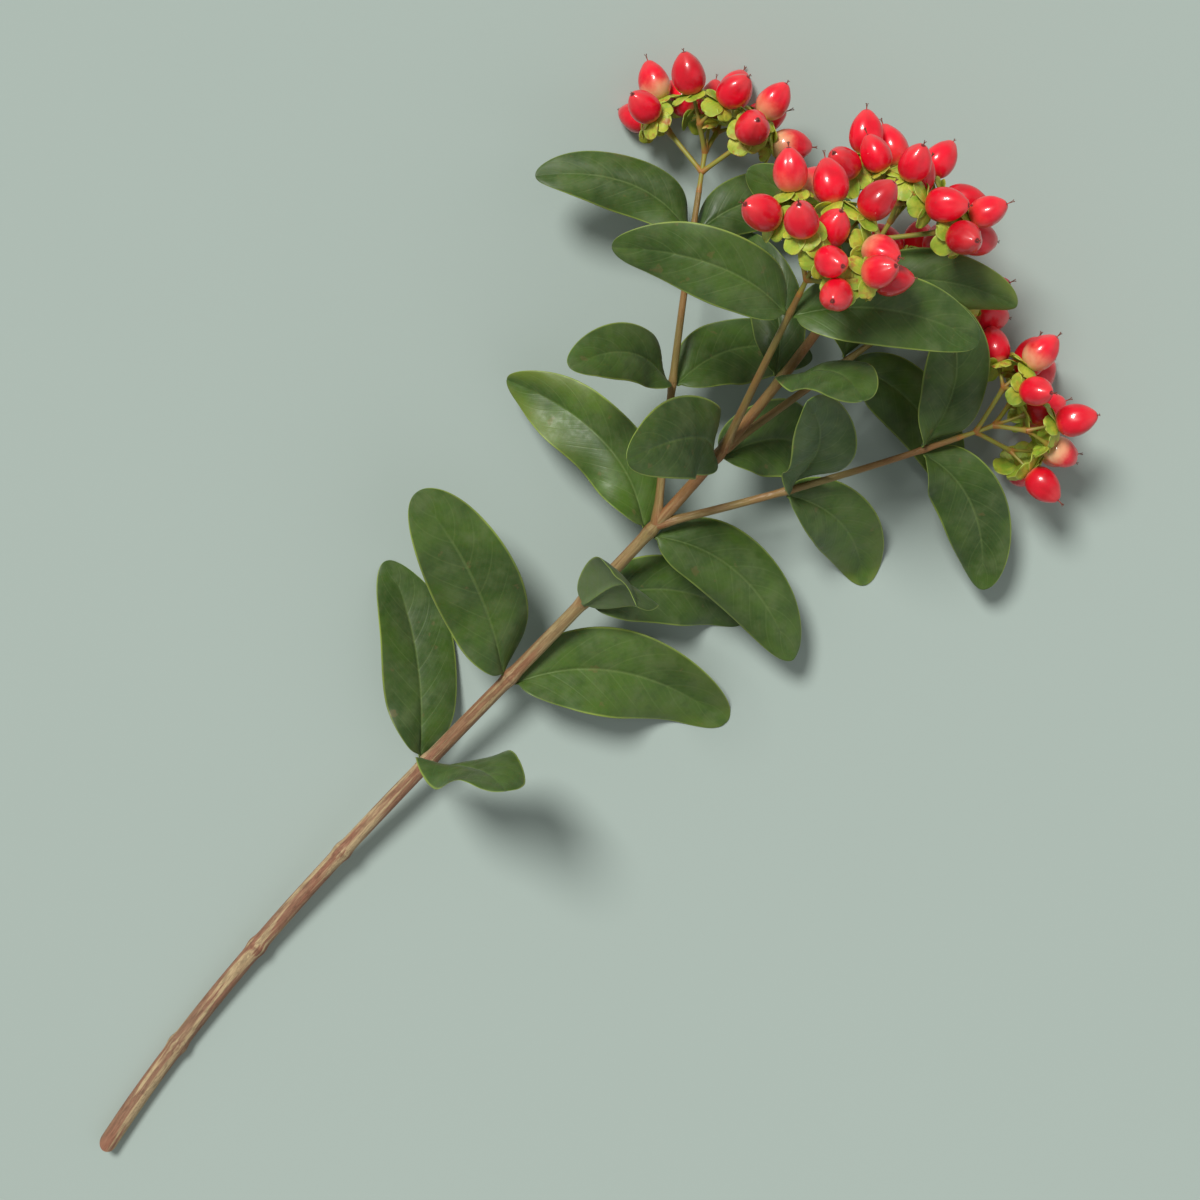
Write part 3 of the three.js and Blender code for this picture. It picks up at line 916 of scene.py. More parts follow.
def patches_effect():
    """Soft patches of any size: 0 where a noise is below From, and 1 where it is above To."""
    inputs = {"Place": (0.0, 0.0, 0.0), "Scale": 100.0, "From": 0.4, "To": 0.6}
    g = Group("ShaderNodeTree", "Patches", inputs, Mask=NUMBER)
    noise = g.noise(g.given["Place"], g.given["Scale"], 3.0, 0.55)
    return g.give(Mask=g.smooth(noise, g.given["From"], g.given["To"]))


def veins_effect():
    """Where a blade's midrib, its side veins and its thin edge are."""
    inputs = {"Blade": (0.0, 0.0, 0.0), "Pairs": 7.0, "Fine": 0.06}
    g = Group("ShaderNodeTree", "Veins", inputs, Rib=NUMBER, Side=NUMBER, Edge=NUMBER)
    u, v, _ = g.parts(g.given["Blade"])
    fine = g.given["Fine"]
    side = g.line(vein_place(g, u, v, g.given["Pairs"]) + 0.5, fine * 1.6, fine * 0.3)
    rib = g.smooth(abs(v), 0.05, 0.012) * g.smooth(u, 1.0, 0.6)
    return g.give(Rib=rib, Side=side * g.smooth(abs(v), 0.98, 0.6), Edge=g.smooth(abs(v), 0.94, 0.985))


EFFECTS = {"Patches": patches_effect, "Veins": veins_effect}


def bark_finish(settings):
    """Tan bark with fine lengthwise splits darkened along their bottoms with painted shade, pale peeling
    strips and dark flecks, and the smooth skin of young wood."""
    g = Finish("bark")
    grain = g.read("grain", "Vector")
    age = g.read("age")
    fibres = grain * (1.0, 1.0, 0.05)
    streaks = g.patches(fibres, 1500.0, 0.45, 0.7)
    strips = g.patches(fibres, 480.0, 0.5, 0.58)
    flecks = g.patches(grain * (1.0, 1.0, 0.25), 750.0, 0.55, 0.65)
    broad = g.patches(grain * (1.0, 1.0, 0.3), 90.0, 0.35, 0.65)
    splits = g.smooth(abs(g.noise(fibres, 2200.0, 3.0, 0.6) - 0.5), 0.03, 0.0)
    scars = g.smooth(g.read("scar"), 0.2, 1.0) * (broad * 0.5 + 0.5)
    young = g.layers(settings.young, (settings.blush, broad * 0.7 + streaks * 0.2))
    old = g.layers(
        settings.bark,
        (settings.ruddy, broad * 0.8),
        (settings.streak, strips * 0.65 + streaks * 0.2),
        # The splits take the dark bark colour: painted shade in the splits. The flecks take it as the bark's
        # own dark colour.
        (settings.dark_bark_and_split_shade, g.math("MAXIMUM", splits * 0.5, flecks * 0.35)),
    )
    g.relief(streaks * 0.4 + strips * 0.7 - splits - flecks * 0.4 - scars * 0.6, 0.5, 0.0002)
    # The node scars take the dark bark colour as their own colour, not as shade.
    skin = g.layers(young, (old, age), (settings.dark_bark_and_split_shade, scars * 0.35))
    return g.paint(Base_Color=skin, Roughness=g.mix(0.4, 0.7, age))


def leaf_finish(settings):
    """A satin dark blade with faint veins, waxy clouds, a few dry spots and a thin bright edge, greyer and
    duller below."""
    g = Finish("leaf_blade", Specular_IOR_Level=0.38, Subsurface_Weight=0.05, Subsurface_Scale=0.002,
               Sheen_Weight=0.04, Sheen_Roughness=0.5)
    blade = g.read("blade", "Vector")
    tone = g.read("tone")
    u, v, upper = g.parts(blade)
    place = g.place()
    veins = g.use("Veins", Blade=blade, Pairs=settings.pairs, Fine=0.04)
    veinlets = g.use("Veins", Blade=blade, Pairs=settings.pairs * 4, Fine=0.14)["Side"]
    broad = g.patches(place, 55.0, 0.35, 0.65)
    fine = g.patches(place, 500.0, 0.3, 0.7)
    cloud = g.patches(place, 150.0, 0.4, 0.75)
    glands = g.patches(place, 1600.0, 0.62, 0.7)
    ageing = g.smooth(tone, 0.55, 1.0) * g.smooth(u, 0.35, 1.0) * g.smooth(abs(v), 0.1, 1.0)
    above = g.layers(
        settings.deep,
        (settings.fresh, broad * 0.55 + tone * 0.45),
        (settings.bloom, cloud * 0.45 + fine * 0.15 + glands * 0.12),
        (settings.deep, g.patches(place, 270.0, 0.48, 0.7) * 0.3),
        (settings.blemish, g.patches(place, 190.0, 0.66, 0.72) * 0.3),
        (settings.sunny, ageing * 0.6),
        (settings.vein, veins["Side"] * 0.12 + veinlets * 0.05 + veins * 0.35),
    )
    skin = g.layers(
        settings.under,
        (settings.vein, veins["Side"] * 0.3 + veins * 0.7),
        (settings.fresh, fine * 0.25 + cloud * 0.2),
        (above, upper),
        (settings.edge, veins["Edge"] * (0.45 + broad * 0.4)),
    )
    g.relief(fine * 0.2 + glands * 0.1 - veins["Side"] * 0.5 - veinlets * 0.2, 0.2, 0.0002)
    return g.paint(Base_Color=skin, Roughness=g.mix(0.62, g.mix(0.4, 0.54, fine), upper))


def calyx_finish(settings):
    """Yellow-green sepals with faint lengthwise veins and pale edges, some of them browned from the tip."""
    g = Finish("calyx", Roughness=0.5, Subsurface_Weight=0.12, Subsurface_Scale=0.002)
    s, v, _ = g.parts(g.read("blade", "Vector"))
    own = g.read("sepal")
    place = g.place()
    lines = g.line(v * 3.5 + 0.5, 0.14, 0.03) * g.smooth(s, 0.9, 0.2)
    patches = g.patches(place, 260.0, 0.4, 0.65)
    spots = g.patches(place, 420.0, 0.5, 0.66)
    browned = g.smooth(own, 0.45, 0.9) * g.smooth(s, 0.2, 0.9)
    g.relief(patches * 0.5 + spots * 0.3 - lines, 0.3, 0.00015)
    return g.paint(Base_Color=g.layers(
        settings.green,
        (settings.yellow, patches * 0.5 + own * 0.5),
        (settings.vein, lines * 0.3),
        (settings.rim, g.smooth(abs(v), 0.8, 0.97) * 0.4),
        (settings.brown, g.math("MINIMUM", spots * (browned * 0.9 + 0.15), 1.0)),
    ))


def stalk_finish(settings):
    """Thin green stalks that redden at the joints and on one side."""
    g = Finish("stalks", Roughness=0.45)
    patches = g.patches(g.read("grain", "Vector") * (1.0, 1.0, 0.3), 320.0, 0.4, 0.62)
    reddened = g.math("MAXIMUM", patches * 0.65, g.read("joint"))
    return g.paint(Base_Color=g.layers(settings.stalk, (settings.stalk_blush, reddened)))


def berry_finish(settings):
    """A glossy skin: most berries ripe red, some paler about the foot, each with a dark dot at the tip."""
    g = Finish("berry_skin", Specular_IOR_Level=0.4, Subsurface_Weight=0.12, Subsurface_Scale=0.0015,
               Subsurface_Radius=(1.0, 0.2, 0.12), Coat_Weight=0.5, Coat_Roughness=0.07)
    height = g.read("height")
    tone = g.read("tone")
    shifted = g.read("local", "Vector") + g.xyz(tone * 0.7, tone * 0.3, tone * 0.5)
    patches = g.patches(shifted, 170.0, 0.35, 0.7)
    flecks = g.patches(shifted, 1500.0, 0.6, 0.75)
    pale = g.smooth(height + patches * 0.2, 0.75, 0.15) * g.smooth(tone, 0.84, 0.98)
    foot = g.smooth(height, 0.12, 0.0) * 0.6 + pale
    g.relief(g.noise(shifted, 900.0), 0.1, 0.0001)
    skin = g.layers(
        settings.ripe,
        (settings.deep, patches * 0.45 + g.smooth(tone, 0.45, 0.0) * 0.45),
        (settings.rosy, g.smooth(height, 0.72, 1.0) * 0.35 + flecks * 0.12),
        (settings.blush, g.math("MINIMUM", foot, 1.0)),
        (settings.tip, g.smooth(height, 0.99, 0.998) * 0.9),
    )
    return g.paint(Base_Color=skin, Roughness=g.mix(0.3, 0.4, patches))


def style_finish(settings):
    """Dried brown threads, red where they leave the berry."""
    g = Finish("styles", Roughness=0.6)
    dried = g.smooth(g.read("share"), 0.0, 0.5)
    return g.paint(Base_Color=g.layers(settings.ripe, (settings.style, dried)))


def wood_finish(settings):
    """The fresh cut: pale wood in rings, with a darker pith and a green line under the bark."""
    g = Finish("cut_wood", Roughness=0.75)
    share = g.read("share")
    grain = g.read("grain", "Vector")
    rings = g.line(share * 5 + g.noise(grain, 500.0) * 0.5, 0.1, 0.3)
    wood = g.layers(settings.wood, (settings.streak, rings * 0.3))
    g.relief(g.noise(grain, 2500.0), 0.4, 0.0001)
    wood = g.layers(settings.pith, (wood, g.smooth(share, 0.12, 0.2)))
    return g.paint(Base_Color=g.layers(wood, (settings.young, g.smooth(share, 0.86, 0.95))))


def floor_finish(settings):
    """A plain dull floor, very slightly clouded."""
    g = Finish("floor", Roughness=0.9, Specular_IOR_Level=0.2)
    darker = tuple(part * 0.985 for part in settings.floor)
    soft = g.patches(g.place(), 4.0, 0.2, 0.8)
    return g.paint(Base_Color=g.layers(settings.floor, (darker, soft)))


# ---- Settings ----
def number_prop(name, description, default, **limits):
    return FloatProperty(name=name, description=description, default=default, **limits)


def size_prop(name, description, default):
    return number_prop(name, description, default, min=0.0, subtype="DISTANCE", unit="LENGTH", precision=5)


def share_prop(name, description, default):
    return number_prop(name, description, default, min=0.0, max=1.0, subtype="FACTOR")


def count_prop(name, description, default, least, most):
    return IntProperty(name=name, description=description, default=default, min=least, max=most)


def colour_prop(name, description, default):
    return FloatVectorProperty(
        name=name, description=description, default=default, size=3, min=0.0, max=1.0, subtype="COLOR",
    )


class StemSettings(bpy.types.PropertyGroup):
    sides: count_prop("Sides", "Faces round the stem", 28, 6, 64)
    step: size_prop("Step", "Distance between rings of faces along the stem", 0.0008)
    relief: size_prop("Bark relief", "Depth of the splits in the bark", 0.00025)
    swelling: share_prop("Node swelling", "How much thicker the stem is where leaves join it", 0.2)
    bark: colour_prop("Bark", "Old bark on the lower stem", (0.27, 0.145, 0.085))
    ruddy: colour_prop("Ruddy bark", "Pinker stretches of the old bark", (0.32, 0.13, 0.075))
    # Painted shade at the bottoms of the bark splits, and the own dark colour of the flecks and node scars.
    dark_bark_and_split_shade: colour_prop("Bark splits", "The bottoms of the splits", (0.07, 0.028, 0.014))
    streak: colour_prop("Bark streaks", "Pale strips where the bark peels", (0.58, 0.46, 0.25))
    young: colour_prop("Young wood", "Golden-green skin of the upper stem", (0.25, 0.2, 0.05))
    blush: colour_prop("Young blush", "Red-brown tint of the upper stem", (0.3, 0.095, 0.028))
    wood: colour_prop("Cut wood", "The fresh cut", (0.62, 0.5, 0.3))
    pith: colour_prop("Pith", "The middle of the cut", (0.3, 0.2, 0.1))


class LeafSettings(bpy.types.PropertyGroup):
    thickness: size_prop("Thickness", "Of the blade between its veins", 0.00042)
    rib: size_prop("Rib", "How far the midrib is sunk above and stands out below", 0.0005)
    veins: size_prop("Veins", "How far the side veins are sunk", 0.00016)
    pairs: number_prop("Vein pairs", "Pairs of side veins", 7.0, min=0.0, max=20.0)
    dents: size_prop("Dents", "How far the blade rises and falls unevenly", 0.0006)
    deep: colour_prop("Deep green", "Darker parts of the upper face", (0.028, 0.064, 0.011))
    fresh: colour_prop("Fresh green", "Brighter parts of the upper face", (0.078, 0.155, 0.017))
    bloom: colour_prop("Bloom", "Grey-green wax on the upper face", (0.12, 0.165, 0.06))
    sunny: colour_prop("Sunny green", "Yellower ends of the older leaves", (0.19, 0.25, 0.035))
    vein: colour_prop("Veins", "Midrib and side veins", (0.17, 0.24, 0.07))
    edge: colour_prop("Edge", "Thin line round the blade", (0.3, 0.4, 0.07))
    under: colour_prop("Underside", "Lower face", (0.13, 0.18, 0.08))
    blemish: colour_prop("Blemishes", "Small dry spots on the upper face", (0.2, 0.12, 0.05))


class SpraySettings(bpy.types.PropertyGroup):
    thickness: size_prop("Sepal thickness", "Of each sepal", 0.00034)
    cup: size_prop("Sepal cup", "How far a sepal's edges rise", 0.0007)
    stalk_radius: size_prop("Stalk radius", "Of a berry's stalk", 0.00052)
    fork_radius: size_prop("Fork radius", "Of the stalks that fork", 0.00075)
    green: colour_prop("Sepal green", "Most of each sepal", (0.24, 0.4, 0.03))
    yellow: colour_prop("Sepal yellow", "Sunny patches of the sepals", (0.6, 0.6, 0.06))
    rim: colour_prop("Sepal rim", "Pale edges of the sepals", (0.6, 0.66, 0.16))
    vein: colour_prop("Sepal veins", "Fine lines along the sepals", (0.12, 0.24, 0.02))
    brown: colour_prop("Sepal blush", "Brown patches towards the tips", (0.45, 0.17, 0.04))
    stalk: colour_prop("Stalk", "Golden green of the stalks", (0.3, 0.3, 0.045))
    stalk_blush: colour_prop("Stalk blush", "Orange-red of the joints", (0.42, 0.12, 0.03))


class BerrySettings(bpy.types.PropertyGroup):
    segments: count_prop("Segments", "Faces round a berry", 36, 9, 96)
    rings: count_prop("Rings", "Rows of faces from foot to tip", 26, 6, 64)
    lobes: share_prop("Three sides", "How far a berry is from round", 0.05)
    seams: size_prop("Seams", "Depth of the three seams", 0.0003)
    beak: size_prop("Tip", "How far the tip is drawn out", 0.0007)
    style: colour_prop("Styles", "Dried threads at the tip", (0.2, 0.06, 0.035))
    style_length: size_prop("Style length", "Of the usual threads at the tip", 0.002)
    ripe: colour_prop("Ripe red", "Most of a berry", (0.95, 0.006, 0.03))
    deep: colour_prop("Deep red", "Darker patches, and the ripest berries", (0.5, 0.002, 0.01))
    rosy: colour_prop("Rosy red", "Paler skin towards the tip", (0.9, 0.1, 0.1))
    blush: colour_prop("Foot", "Unripe skin about the foot", (0.85, 0.5, 0.26))
    tip: colour_prop("Tip", "The dot at the very tip", (0.07, 0.012, 0.01))


class StageSettings(bpy.types.PropertyGroup):
    floor: colour_prop("Floor", "Pale floor", (0.42, 0.5, 0.46))
    room: number_prop("Room light", "Strength of the light from all round", 0.26, min=0.0)
    key: number_prop("Key light", "Strength of the main light", 2.85, min=0.0)
    fill: number_prop("Fill light", "Strength of the softer light", 0.35, min=0.0)
    azimuth: number_prop("Azimuth", "The way the picture's top points, in degrees from +Y towards -X", -52.0)
    elevation: number_prop("Elevation", "How steeply the camera looks down, in degrees", 104.0)
    lens: number_prop("Lens", "Focal length in millimetres", 85.0, min=20.0)
    margin: share_prop("Margin", "Share of the picture left clear round the stem", 0.04)


class BerryStemSettings(bpy.types.PropertyGroup):
    stem: PointerProperty(type=StemSettings)
    leaf: PointerProperty(type=LeafSettings)
    spray: PointerProperty(type=SpraySettings)
    berry: PointerProperty(type=BerrySettings)
    stage: PointerProperty(type=StageSettings)


def inputs_from(settings, *names):
    """A tree's inputs that bear the names of settings."""
    return {name.title(): getattr(settings, name) for name in names}


# ---- Pieces ----
def line_guide(runs):
    """A guide of separate open lines. A run holds a line's points, as at, and the values at each of them."""
    values = {name: np.concatenate([run[name] for run in runs]) for name in runs[0]}
    points = values.pop("at")
    ends = np.cumsum([len(run["at"]) for run in runs])
    edges = [(i, i + 1) for i in range(len(points) - 1) if i + 1 not in ends]
    return guide_mesh(points, edges, **values)


def limb_guide(settings):
    """Lines down the middle of the stem and its shoots, how thick and how old the wood is along them, and
    where leaves join or have left a scar."""
    runs = []
    for i, limb in enumerate(PLANT.limbs):
        length = limb.line.length()
        shares = np.linspace(0, 1, round(length * MM / settings.step))
        places = [limb.line.place(share) for share in shares]
        from_nodes = np.array([(shares - at) * length for at in limb.nodes])
        thick = limb.radius(shares) * (1 + settings.swelling * bump(from_nodes, BARK.swollen).sum(0))
        if i == 0:
            fade = np.clip(1 - shares * length / BARK.slanted, 0, 1) ** 2
            shear = -STEM.cut_slant * fade
            age = 1 - smooth(*BARK.young_from_to, shares) * 0.85
            rough = 1 - 0.6 * shares - 0.4 * (fade > 0.9)
        else:
            thick *= 1 + 0.5 * bump(shares * length, BARK.shoot_foot)
            shear = shares * 0
            age = 0.25 - 0.2 * shares
            rough = 0.4 - 0.2 * shares
        runs.append({
            "at": metres([place.at for place in places]),
            "thick": thick * MM,
            "shear": shear,
            "along": [place.along for place in places],
            "age": age,
            "rough": rough,
            "scar": bump(from_nodes, BARK.scar).sum(0),
        })
    return line_guide(runs)


def cut_face_mesh():
    """The face of the cut, a hair proud of the bark's end: rings from the bark in to the pith."""
    sides = 36
    place = PLANT.limbs[0].line.place(0)
    points, shares = [], []
    for share, proud in CUT_RINGS:
        for j in range(sides):
            side = place.out(j * 360 / sides) * share * STEM.cut_radius
            cut = place.along * (-STEM.cut_slant * side[2] - proud)
            points.append(raised(place.at + side + cut, LOWEST.cut_face))
            shares.append(share)
    last = len(points) - sides
    faces = []
    for i in range(last):
        after = i - i % sides + (i + 1) % sides
        faces.append((i, i + sides, after + sides, after))
    faces += [range(sides), range(last + sides - 1, last - 1, -1)]
    grain = np.array(points, np.float32) * MM
    return guide_mesh(metres(points), (), faces, share=shares, grain=grain)


class GrowStem(bpy.types.Operator):
    """Grow the stem with its side shoots, and finish the slanting cut at its foot"""

    bl_idname = "berry_stem.grow_stem"
    bl_label = "Grow stem"

    def execute(self, context):
        settings = context.scene.berry_stem.stem
        inputs = {**inputs_from(settings, "sides", "relief"), "Finish": bark_finish(settings)}
        settle_piece(grow("bark", limb_guide(settings), limb_tree(), inputs), "bark", "stem")
        cut = add_piece("cut_face", cut_face_mesh())
        cut.data.materials.append(wood_finish(settings))
        settle_piece(cut, "bark", "stem")
        return {"FINISHED"}


def outline(share):
    """Half a blade's width along it, as a share of the widest: blunt at both ends."""
    widest = 0.5176  # what the formula gives at its greatest
    share = min(max(share, 0), 1)
    return share**0.45 * (1 - share) ** 0.5 / widest


def leaf_guide(leaf, tone):
    """Points along a leaf's midrib, with the blade's directions and half width at each."""
    heel = -LEAF.heel / leaf.length
    rounded = (1 - np.cos(np.linspace(0, math.pi, LEAF.rows))) / 2
    shares = [*np.linspace(heel, 0, 4)[:-1], *rounded]
    points, sides, normals, halves, stouts = [], [], [], [], []
    for share in shares:
        on_blade = max(share, 0)
        place = leaf.midrib.place(on_blade)
        turn = leaf.facing * smooth(-0.25, 0.3, share)
        normal = square(square(leaf.inner, place.along) * (1 - turn) + place.up * turn, place.along)
        normal = lean(normal, np.cross(place.along, normal), leaf.twist * on_blade)
        points.append(place.at + place.along * min(share, 0) * leaf.length)
        normals.append(normal)
        sides.append(np.cross(place.along, normal))
        least = mix(LEAF.base_half_width, LEAF.tip_half_width, on_blade)
        near_bark = bump(share - heel, LEAF.clasp)
        half = max(leaf.half_width * outline(share), least) * (1 - LEAF.narrower * near_bark)
        halves.append(half * MM)
        stouts.append(1 + LEAF.thicker * near_bark)
    tones = [tone] * len(shares)
    return guide_mesh(
        metres(points), share=shares, side=sides, normal=normals, half=halves, stout=stouts, tone=tones,
    )


def spread_value(mesh, name, value):
    """Gives every point of a mesh the same value."""
    layer = mesh.attributes.get(name) or mesh.attributes.new(name, "FLOAT", "POINT")
    layer.data.foreach_set("value", [value] * len(mesh.vertices))


class GrowLeaves(bpy.types.Operator):
    """Grow a blade for every leaf"""

    bl_idname = "berry_stem.grow_leaves"
    bl_label = "Grow leaves"

    def execute(self, context):
        settings = context.scene.berry_stem.leaf
        inputs = inputs_from(settings, "thickness", "rib", "veins", "pairs", "dents")
        inputs["Finish"] = leaf_finish(settings)
        tree = leaf_tree()
        tones = Draws(SEEDS.leaf_tones)
        for i, leaf in enumerate(PLANT.leaves):
            tone = tones.between(0, 1)
            piece = grow(f"blade_{i + 1:02d}", leaf_guide(leaf, tone), tree, {**inputs, **leaf.shape})
            spread_value(piece.data, "tone", tone)
            settle_piece(piece, "leaf", f"leaf_{i + 1:02d}")
        return {"FINISHED"}


def stalk_run(start, end, root, body, head):
    """A stalk's line, and how thick and how reddened it is: swollen at the joint it starts from and under
    what it carries."""
    length = np.linalg.norm(end - start)
    shares = np.linspace(0, 1, max(6, round(length / STALK.step)))
    from_start = shares * length
    from_end = length - from_start
    under_head = bump(from_end, STALK.head_reach)
    thick = body + (root - body) * bump(from_start, STALK.root_reach) + (head - body) * under_head
    return {
        "at": metres([mix(start, end, share) for share in shares]),
        "thick": thick * MM,
        "joint": 0.85 * bump(from_start, STALK.red_reach) + 0.5 * under_head,
        "shear": shares * 0,
        "along": np.zeros((len(shares), 3)),
        "rough": shares * 0 + 1,
    }


def stalk_guide(spray, settings):
    fork, thin = settings.fork_radius / MM, settings.stalk_radius / MM
    runs = []
    for i, (start, end) in enumerate(spray.forks):
        root, sunk = (STALK.lowest_root, STALK.sunk) if i == 0 else (STALK.fork_ends, 0)
        foot = start - unit(end - start) * sunk
        runs.append(stalk_run(foot, end, fork * root, fork, fork * STALK.fork_ends))
    for berry in spray.berries:
        end = berry.foot + berry.axis * STALK.into_berry
        runs.append(stalk_run(berry.start, end, thin * STALK.root, thin, thin * STALK.head))
    return line_guide(runs)


def berry_guide(spray, index, lift=0.0, stretches=(1, 1)):
    """A point at or above the foot of each berry, with the way it faces, its size, how much longer than
    usual what grows there is, how far its calyx falls back, and its own tone."""
    draws = Draws(SEEDS.berries + index)
    turns, tones, falls = [], [], []
    for berry in spray.berries:
        upright = Vector((0, 0, 1)).rotation_difference(Vector(berry.axis))
        turns.append(tuple(upright @ Quaternion((0, 0, 1), math.radians(berry.turn))))
        tones.append(draws.between(0, 1))
        falls.append(draws.between(*CALYX.unlike))
    feet = [berry.foot + berry.axis * lift * berry.size for berry in spray.berries]
    return guide_mesh(
        metres(feet), rotation=turns, size=[berry.size for berry in spray.berries], tone=tones, fall=falls,
        axis=[berry.axis for berry in spray.berries], stretch=[draws.between(*stretches) for _ in feet],
    )


def grow_for_sprays(name, guide, tree, inputs, slot):
    for i, spray in enumerate(PLANT.sprays):
        piece = grow(f"{name}_{i + 1}", guide(spray, i), tree, inputs)
        settle_piece(piece, slot, f"spray_{i + 1}")


class GrowStalks(bpy.types.Operator):
    """Grow the forking stalks of every spray"""

    bl_idname = "berry_stem.grow_stalks"
    bl_label = "Grow stalks"

    def execute(self, context):
        settings = context.scene.berry_stem.spray
        inputs = {"Sides": 12, "Relief": 0.00012, "Grain": 900.0, "Finish": stalk_finish(settings)}
        grow_for_sprays("stalks", lambda spray, i: stalk_guide(spray, settings), limb_tree(), inputs, "leaf")
        return {"FINISHED"}


class GrowCalyces(bpy.types.Operator):
    """Grow the five-lobed calyx under every berry"""

    bl_idname = "berry_stem.grow_calyces"
    bl_label = "Grow calyces"

    def execute(self, context):
        settings = context.scene.berry_stem.spray
        inputs = inputs_from(settings, "thickness", "cup")
        inputs.update(Fall=CALYX.fall_back / MM, Finish=calyx_finish(settings))
        grow_for_sprays("calyces", berry_guide, calyx_tree(), inputs, "leaf")
        return {"FINISHED"}


class GrowBerries(bpy.types.Operator):
    """Grow the berries of every spray"""

    bl_idname = "berry_stem.grow_berries"
    bl_label = "Grow berries"

    def execute(self, context):
        settings = context.scene.berry_stem.berry
        inputs = inputs_from(settings, "segments", "rings", "lobes", "seams", "beak")
        inputs.update(Radius=BERRY.radius * MM, Length=BERRY.length * MM, Finish=berry_finish(settings))
        grow_for_sprays("berries", berry_guide, berry_tree(), inputs, "berries")
        return {"FINISHED"}


class GrowStyles(bpy.types.Operator):
    """Grow the dried threads at the tip of every berry"""

    bl_idname = "berry_stem.grow_styles"
    bl_label = "Grow styles"

    def execute(self, context):
        settings = context.scene.berry_stem.berry
        tip = BERRY.length + settings.beak / MM
        inputs = {"Length": settings.style_length, "Finish": style_finish(settings)}

        def guide(spray, i):
            return berry_guide(spray, i, tip, STYLES_UNLIKE)

        grow_for_sprays("styles", guide, style_tree(), inputs, "berries")
        return {"FINISHED"}


# ---- Stage ----
def add_sun(name, way, strength, softness, tint):
    """Even light from a direction, as soft as a lamp that looks that many degrees wide."""
    sun = bpy.data.lights.new(name, "SUN")
    sun.energy = strength
    sun.angle = math.radians(softness)
    sun.color = tint
    lamp = bpy.data.objects.new(name, sun)
    lamp.rotation_euler = Vector(way).to_track_quat("Z", "Y").to_euler()
    bpy.context.scene.collection.objects.link(lamp)


def add_camera(stage):
    """A camera that looks down on the plant from far enough away to take it all in. Past 90 degrees it
    stands beyond the plant and looks back at it, with the same side of the picture up."""
    azimuth, elevation = math.radians(stage.azimuth), math.radians(stage.elevation)
    ahead = Vector((-math.sin(azimuth), math.cos(azimuth), 0))
    back = Vector((0, 0, math.sin(elevation))) - ahead * math.cos(elevation)
    up = Vector((0, 0, math.cos(elevation))) + ahead * math.sin(elevation)
    axes = np.array([up.cross(back), up, back])
    camera = bpy.data.cameras.new("camera")
    camera.lens = stage.lens
    camera.clip_end = 50
    seen = np.concatenate([[tuple(v.co) for v in piece.data.vertices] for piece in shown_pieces()]) @ axes.T
    middle = (seen.min(0) + seen.max(0)) / 2
    half = camera.sensor_width / 2 / camera.lens * (1 - 2 * stage.margin)
    for _ in range(4):
        away = seen - middle
        distance = (np.abs(away[:, :2]).max(1) / half + away[:, 2]).max()
        flat = away[:, :2] / (distance - away[:, 2:])
        middle[:2] += (flat.min(0) + flat.max(0)) / 2 * distance
    viewer = bpy.data.objects.new("camera", camera)
    viewer.location = Vector(axes.T @ middle) + back * distance
    viewer.rotation_euler = Matrix(axes.T).to_euler()
    bpy.context.scene.collection.objects.link(viewer)
    bpy.context.scene.camera = viewer


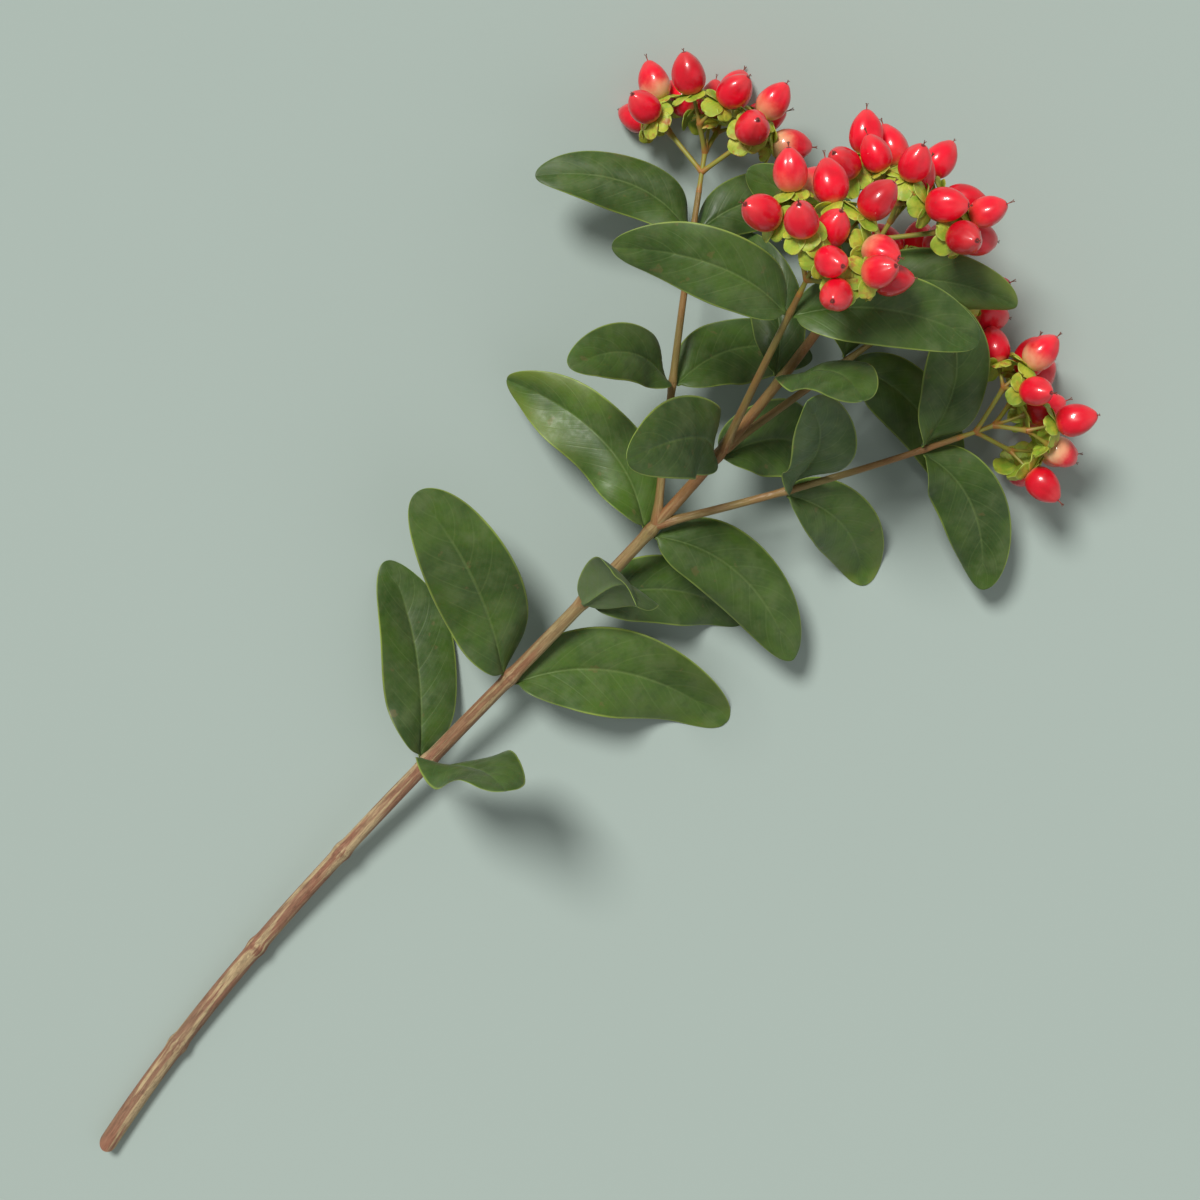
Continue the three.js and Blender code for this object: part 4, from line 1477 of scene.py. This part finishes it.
class SetStage(bpy.types.Operator):
    """Lay the pale floor, and set the soft light and the camera"""

    bl_idname = "berry_stem.set_stage"
    bl_label = "Set stage"

    def execute(self, context):
        stage = context.scene.berry_stem.stage
        reach = 15.0
        corners = [(-reach, -reach, 0), (reach, -reach, 0), (reach, reach, 0), (-reach, reach, 0)]
        floor = add_piece("floor", guide_mesh(corners, (), [range(4)]))
        floor.data.materials.append(floor_finish(stage))
        floor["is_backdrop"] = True
        world = bpy.data.worlds.new("soft room")
        world.use_nodes = True
        background = world.node_tree.nodes["Background"]
        background.inputs["Color"].default_value = (0.98, 1.0, 0.97, 1)
        background.inputs["Strength"].default_value = stage.room
        context.scene.world = world
        context.scene.view_settings.view_transform = "Standard"
        add_sun("key", (0.35, 0.75, 1.0), stage.key, 17, (1.0, 0.985, 0.96))
        add_sun("fill", (0.3, -0.9, 0.7), stage.fill, 75, (0.97, 0.98, 1.0))
        add_camera(stage)
        return {"FINISHED"}


class BerryStemPanel(bpy.types.Panel):
    """Grows the stem piece by piece"""

    bl_label = "Berry stem"
    bl_idname = "VIEW3D_PT_berry_stem"
    bl_space_type = "VIEW_3D"
    bl_region_type = "UI"
    bl_category = "Berry stem"

    def draw(self, context):
        settings = context.scene.berry_stem
        for title, group, operators in (
            ("Stem", settings.stem, [GrowStem]),
            ("Leaves", settings.leaf, [GrowLeaves]),
            ("Sprays", settings.spray, [GrowStalks, GrowCalyces]),
            ("Berries", settings.berry, [GrowBerries, GrowStyles]),
            ("Stage", settings.stage, [SetStage]),
        ):
            box = self.layout.box()
            box.label(text=title)
            for name in group.__annotations__:
                box.prop(group, name)
            for operator in operators:
                box.operator(operator.bl_idname)


SETTINGS = (StemSettings, LeafSettings, SpraySettings, BerrySettings, StageSettings, BerryStemSettings)
OPERATORS = (GrowStem, GrowLeaves, GrowStalks, GrowCalyces, GrowBerries, GrowStyles, SetStage)
CLASSES = (*SETTINGS, *OPERATORS, BerryStemPanel)


def register():
    for cls in CLASSES:
        bpy.utils.register_class(cls)
    bpy.types.Scene.berry_stem = PointerProperty(type=BerryStemSettings)


def unregister():
    del bpy.types.Scene.berry_stem
    for cls in reversed(CLASSES):
        bpy.utils.unregister_class(cls)


def main():
    register()
    bpy.ops.berry_stem.grow_stem()
    bpy.ops.berry_stem.grow_leaves()
    bpy.ops.berry_stem.grow_stalks()
    bpy.ops.berry_stem.grow_calyces()
    bpy.ops.berry_stem.grow_berries()
    bpy.ops.berry_stem.grow_styles()
    bpy.ops.berry_stem.set_stage()


if __name__ == "__main__":
    main()
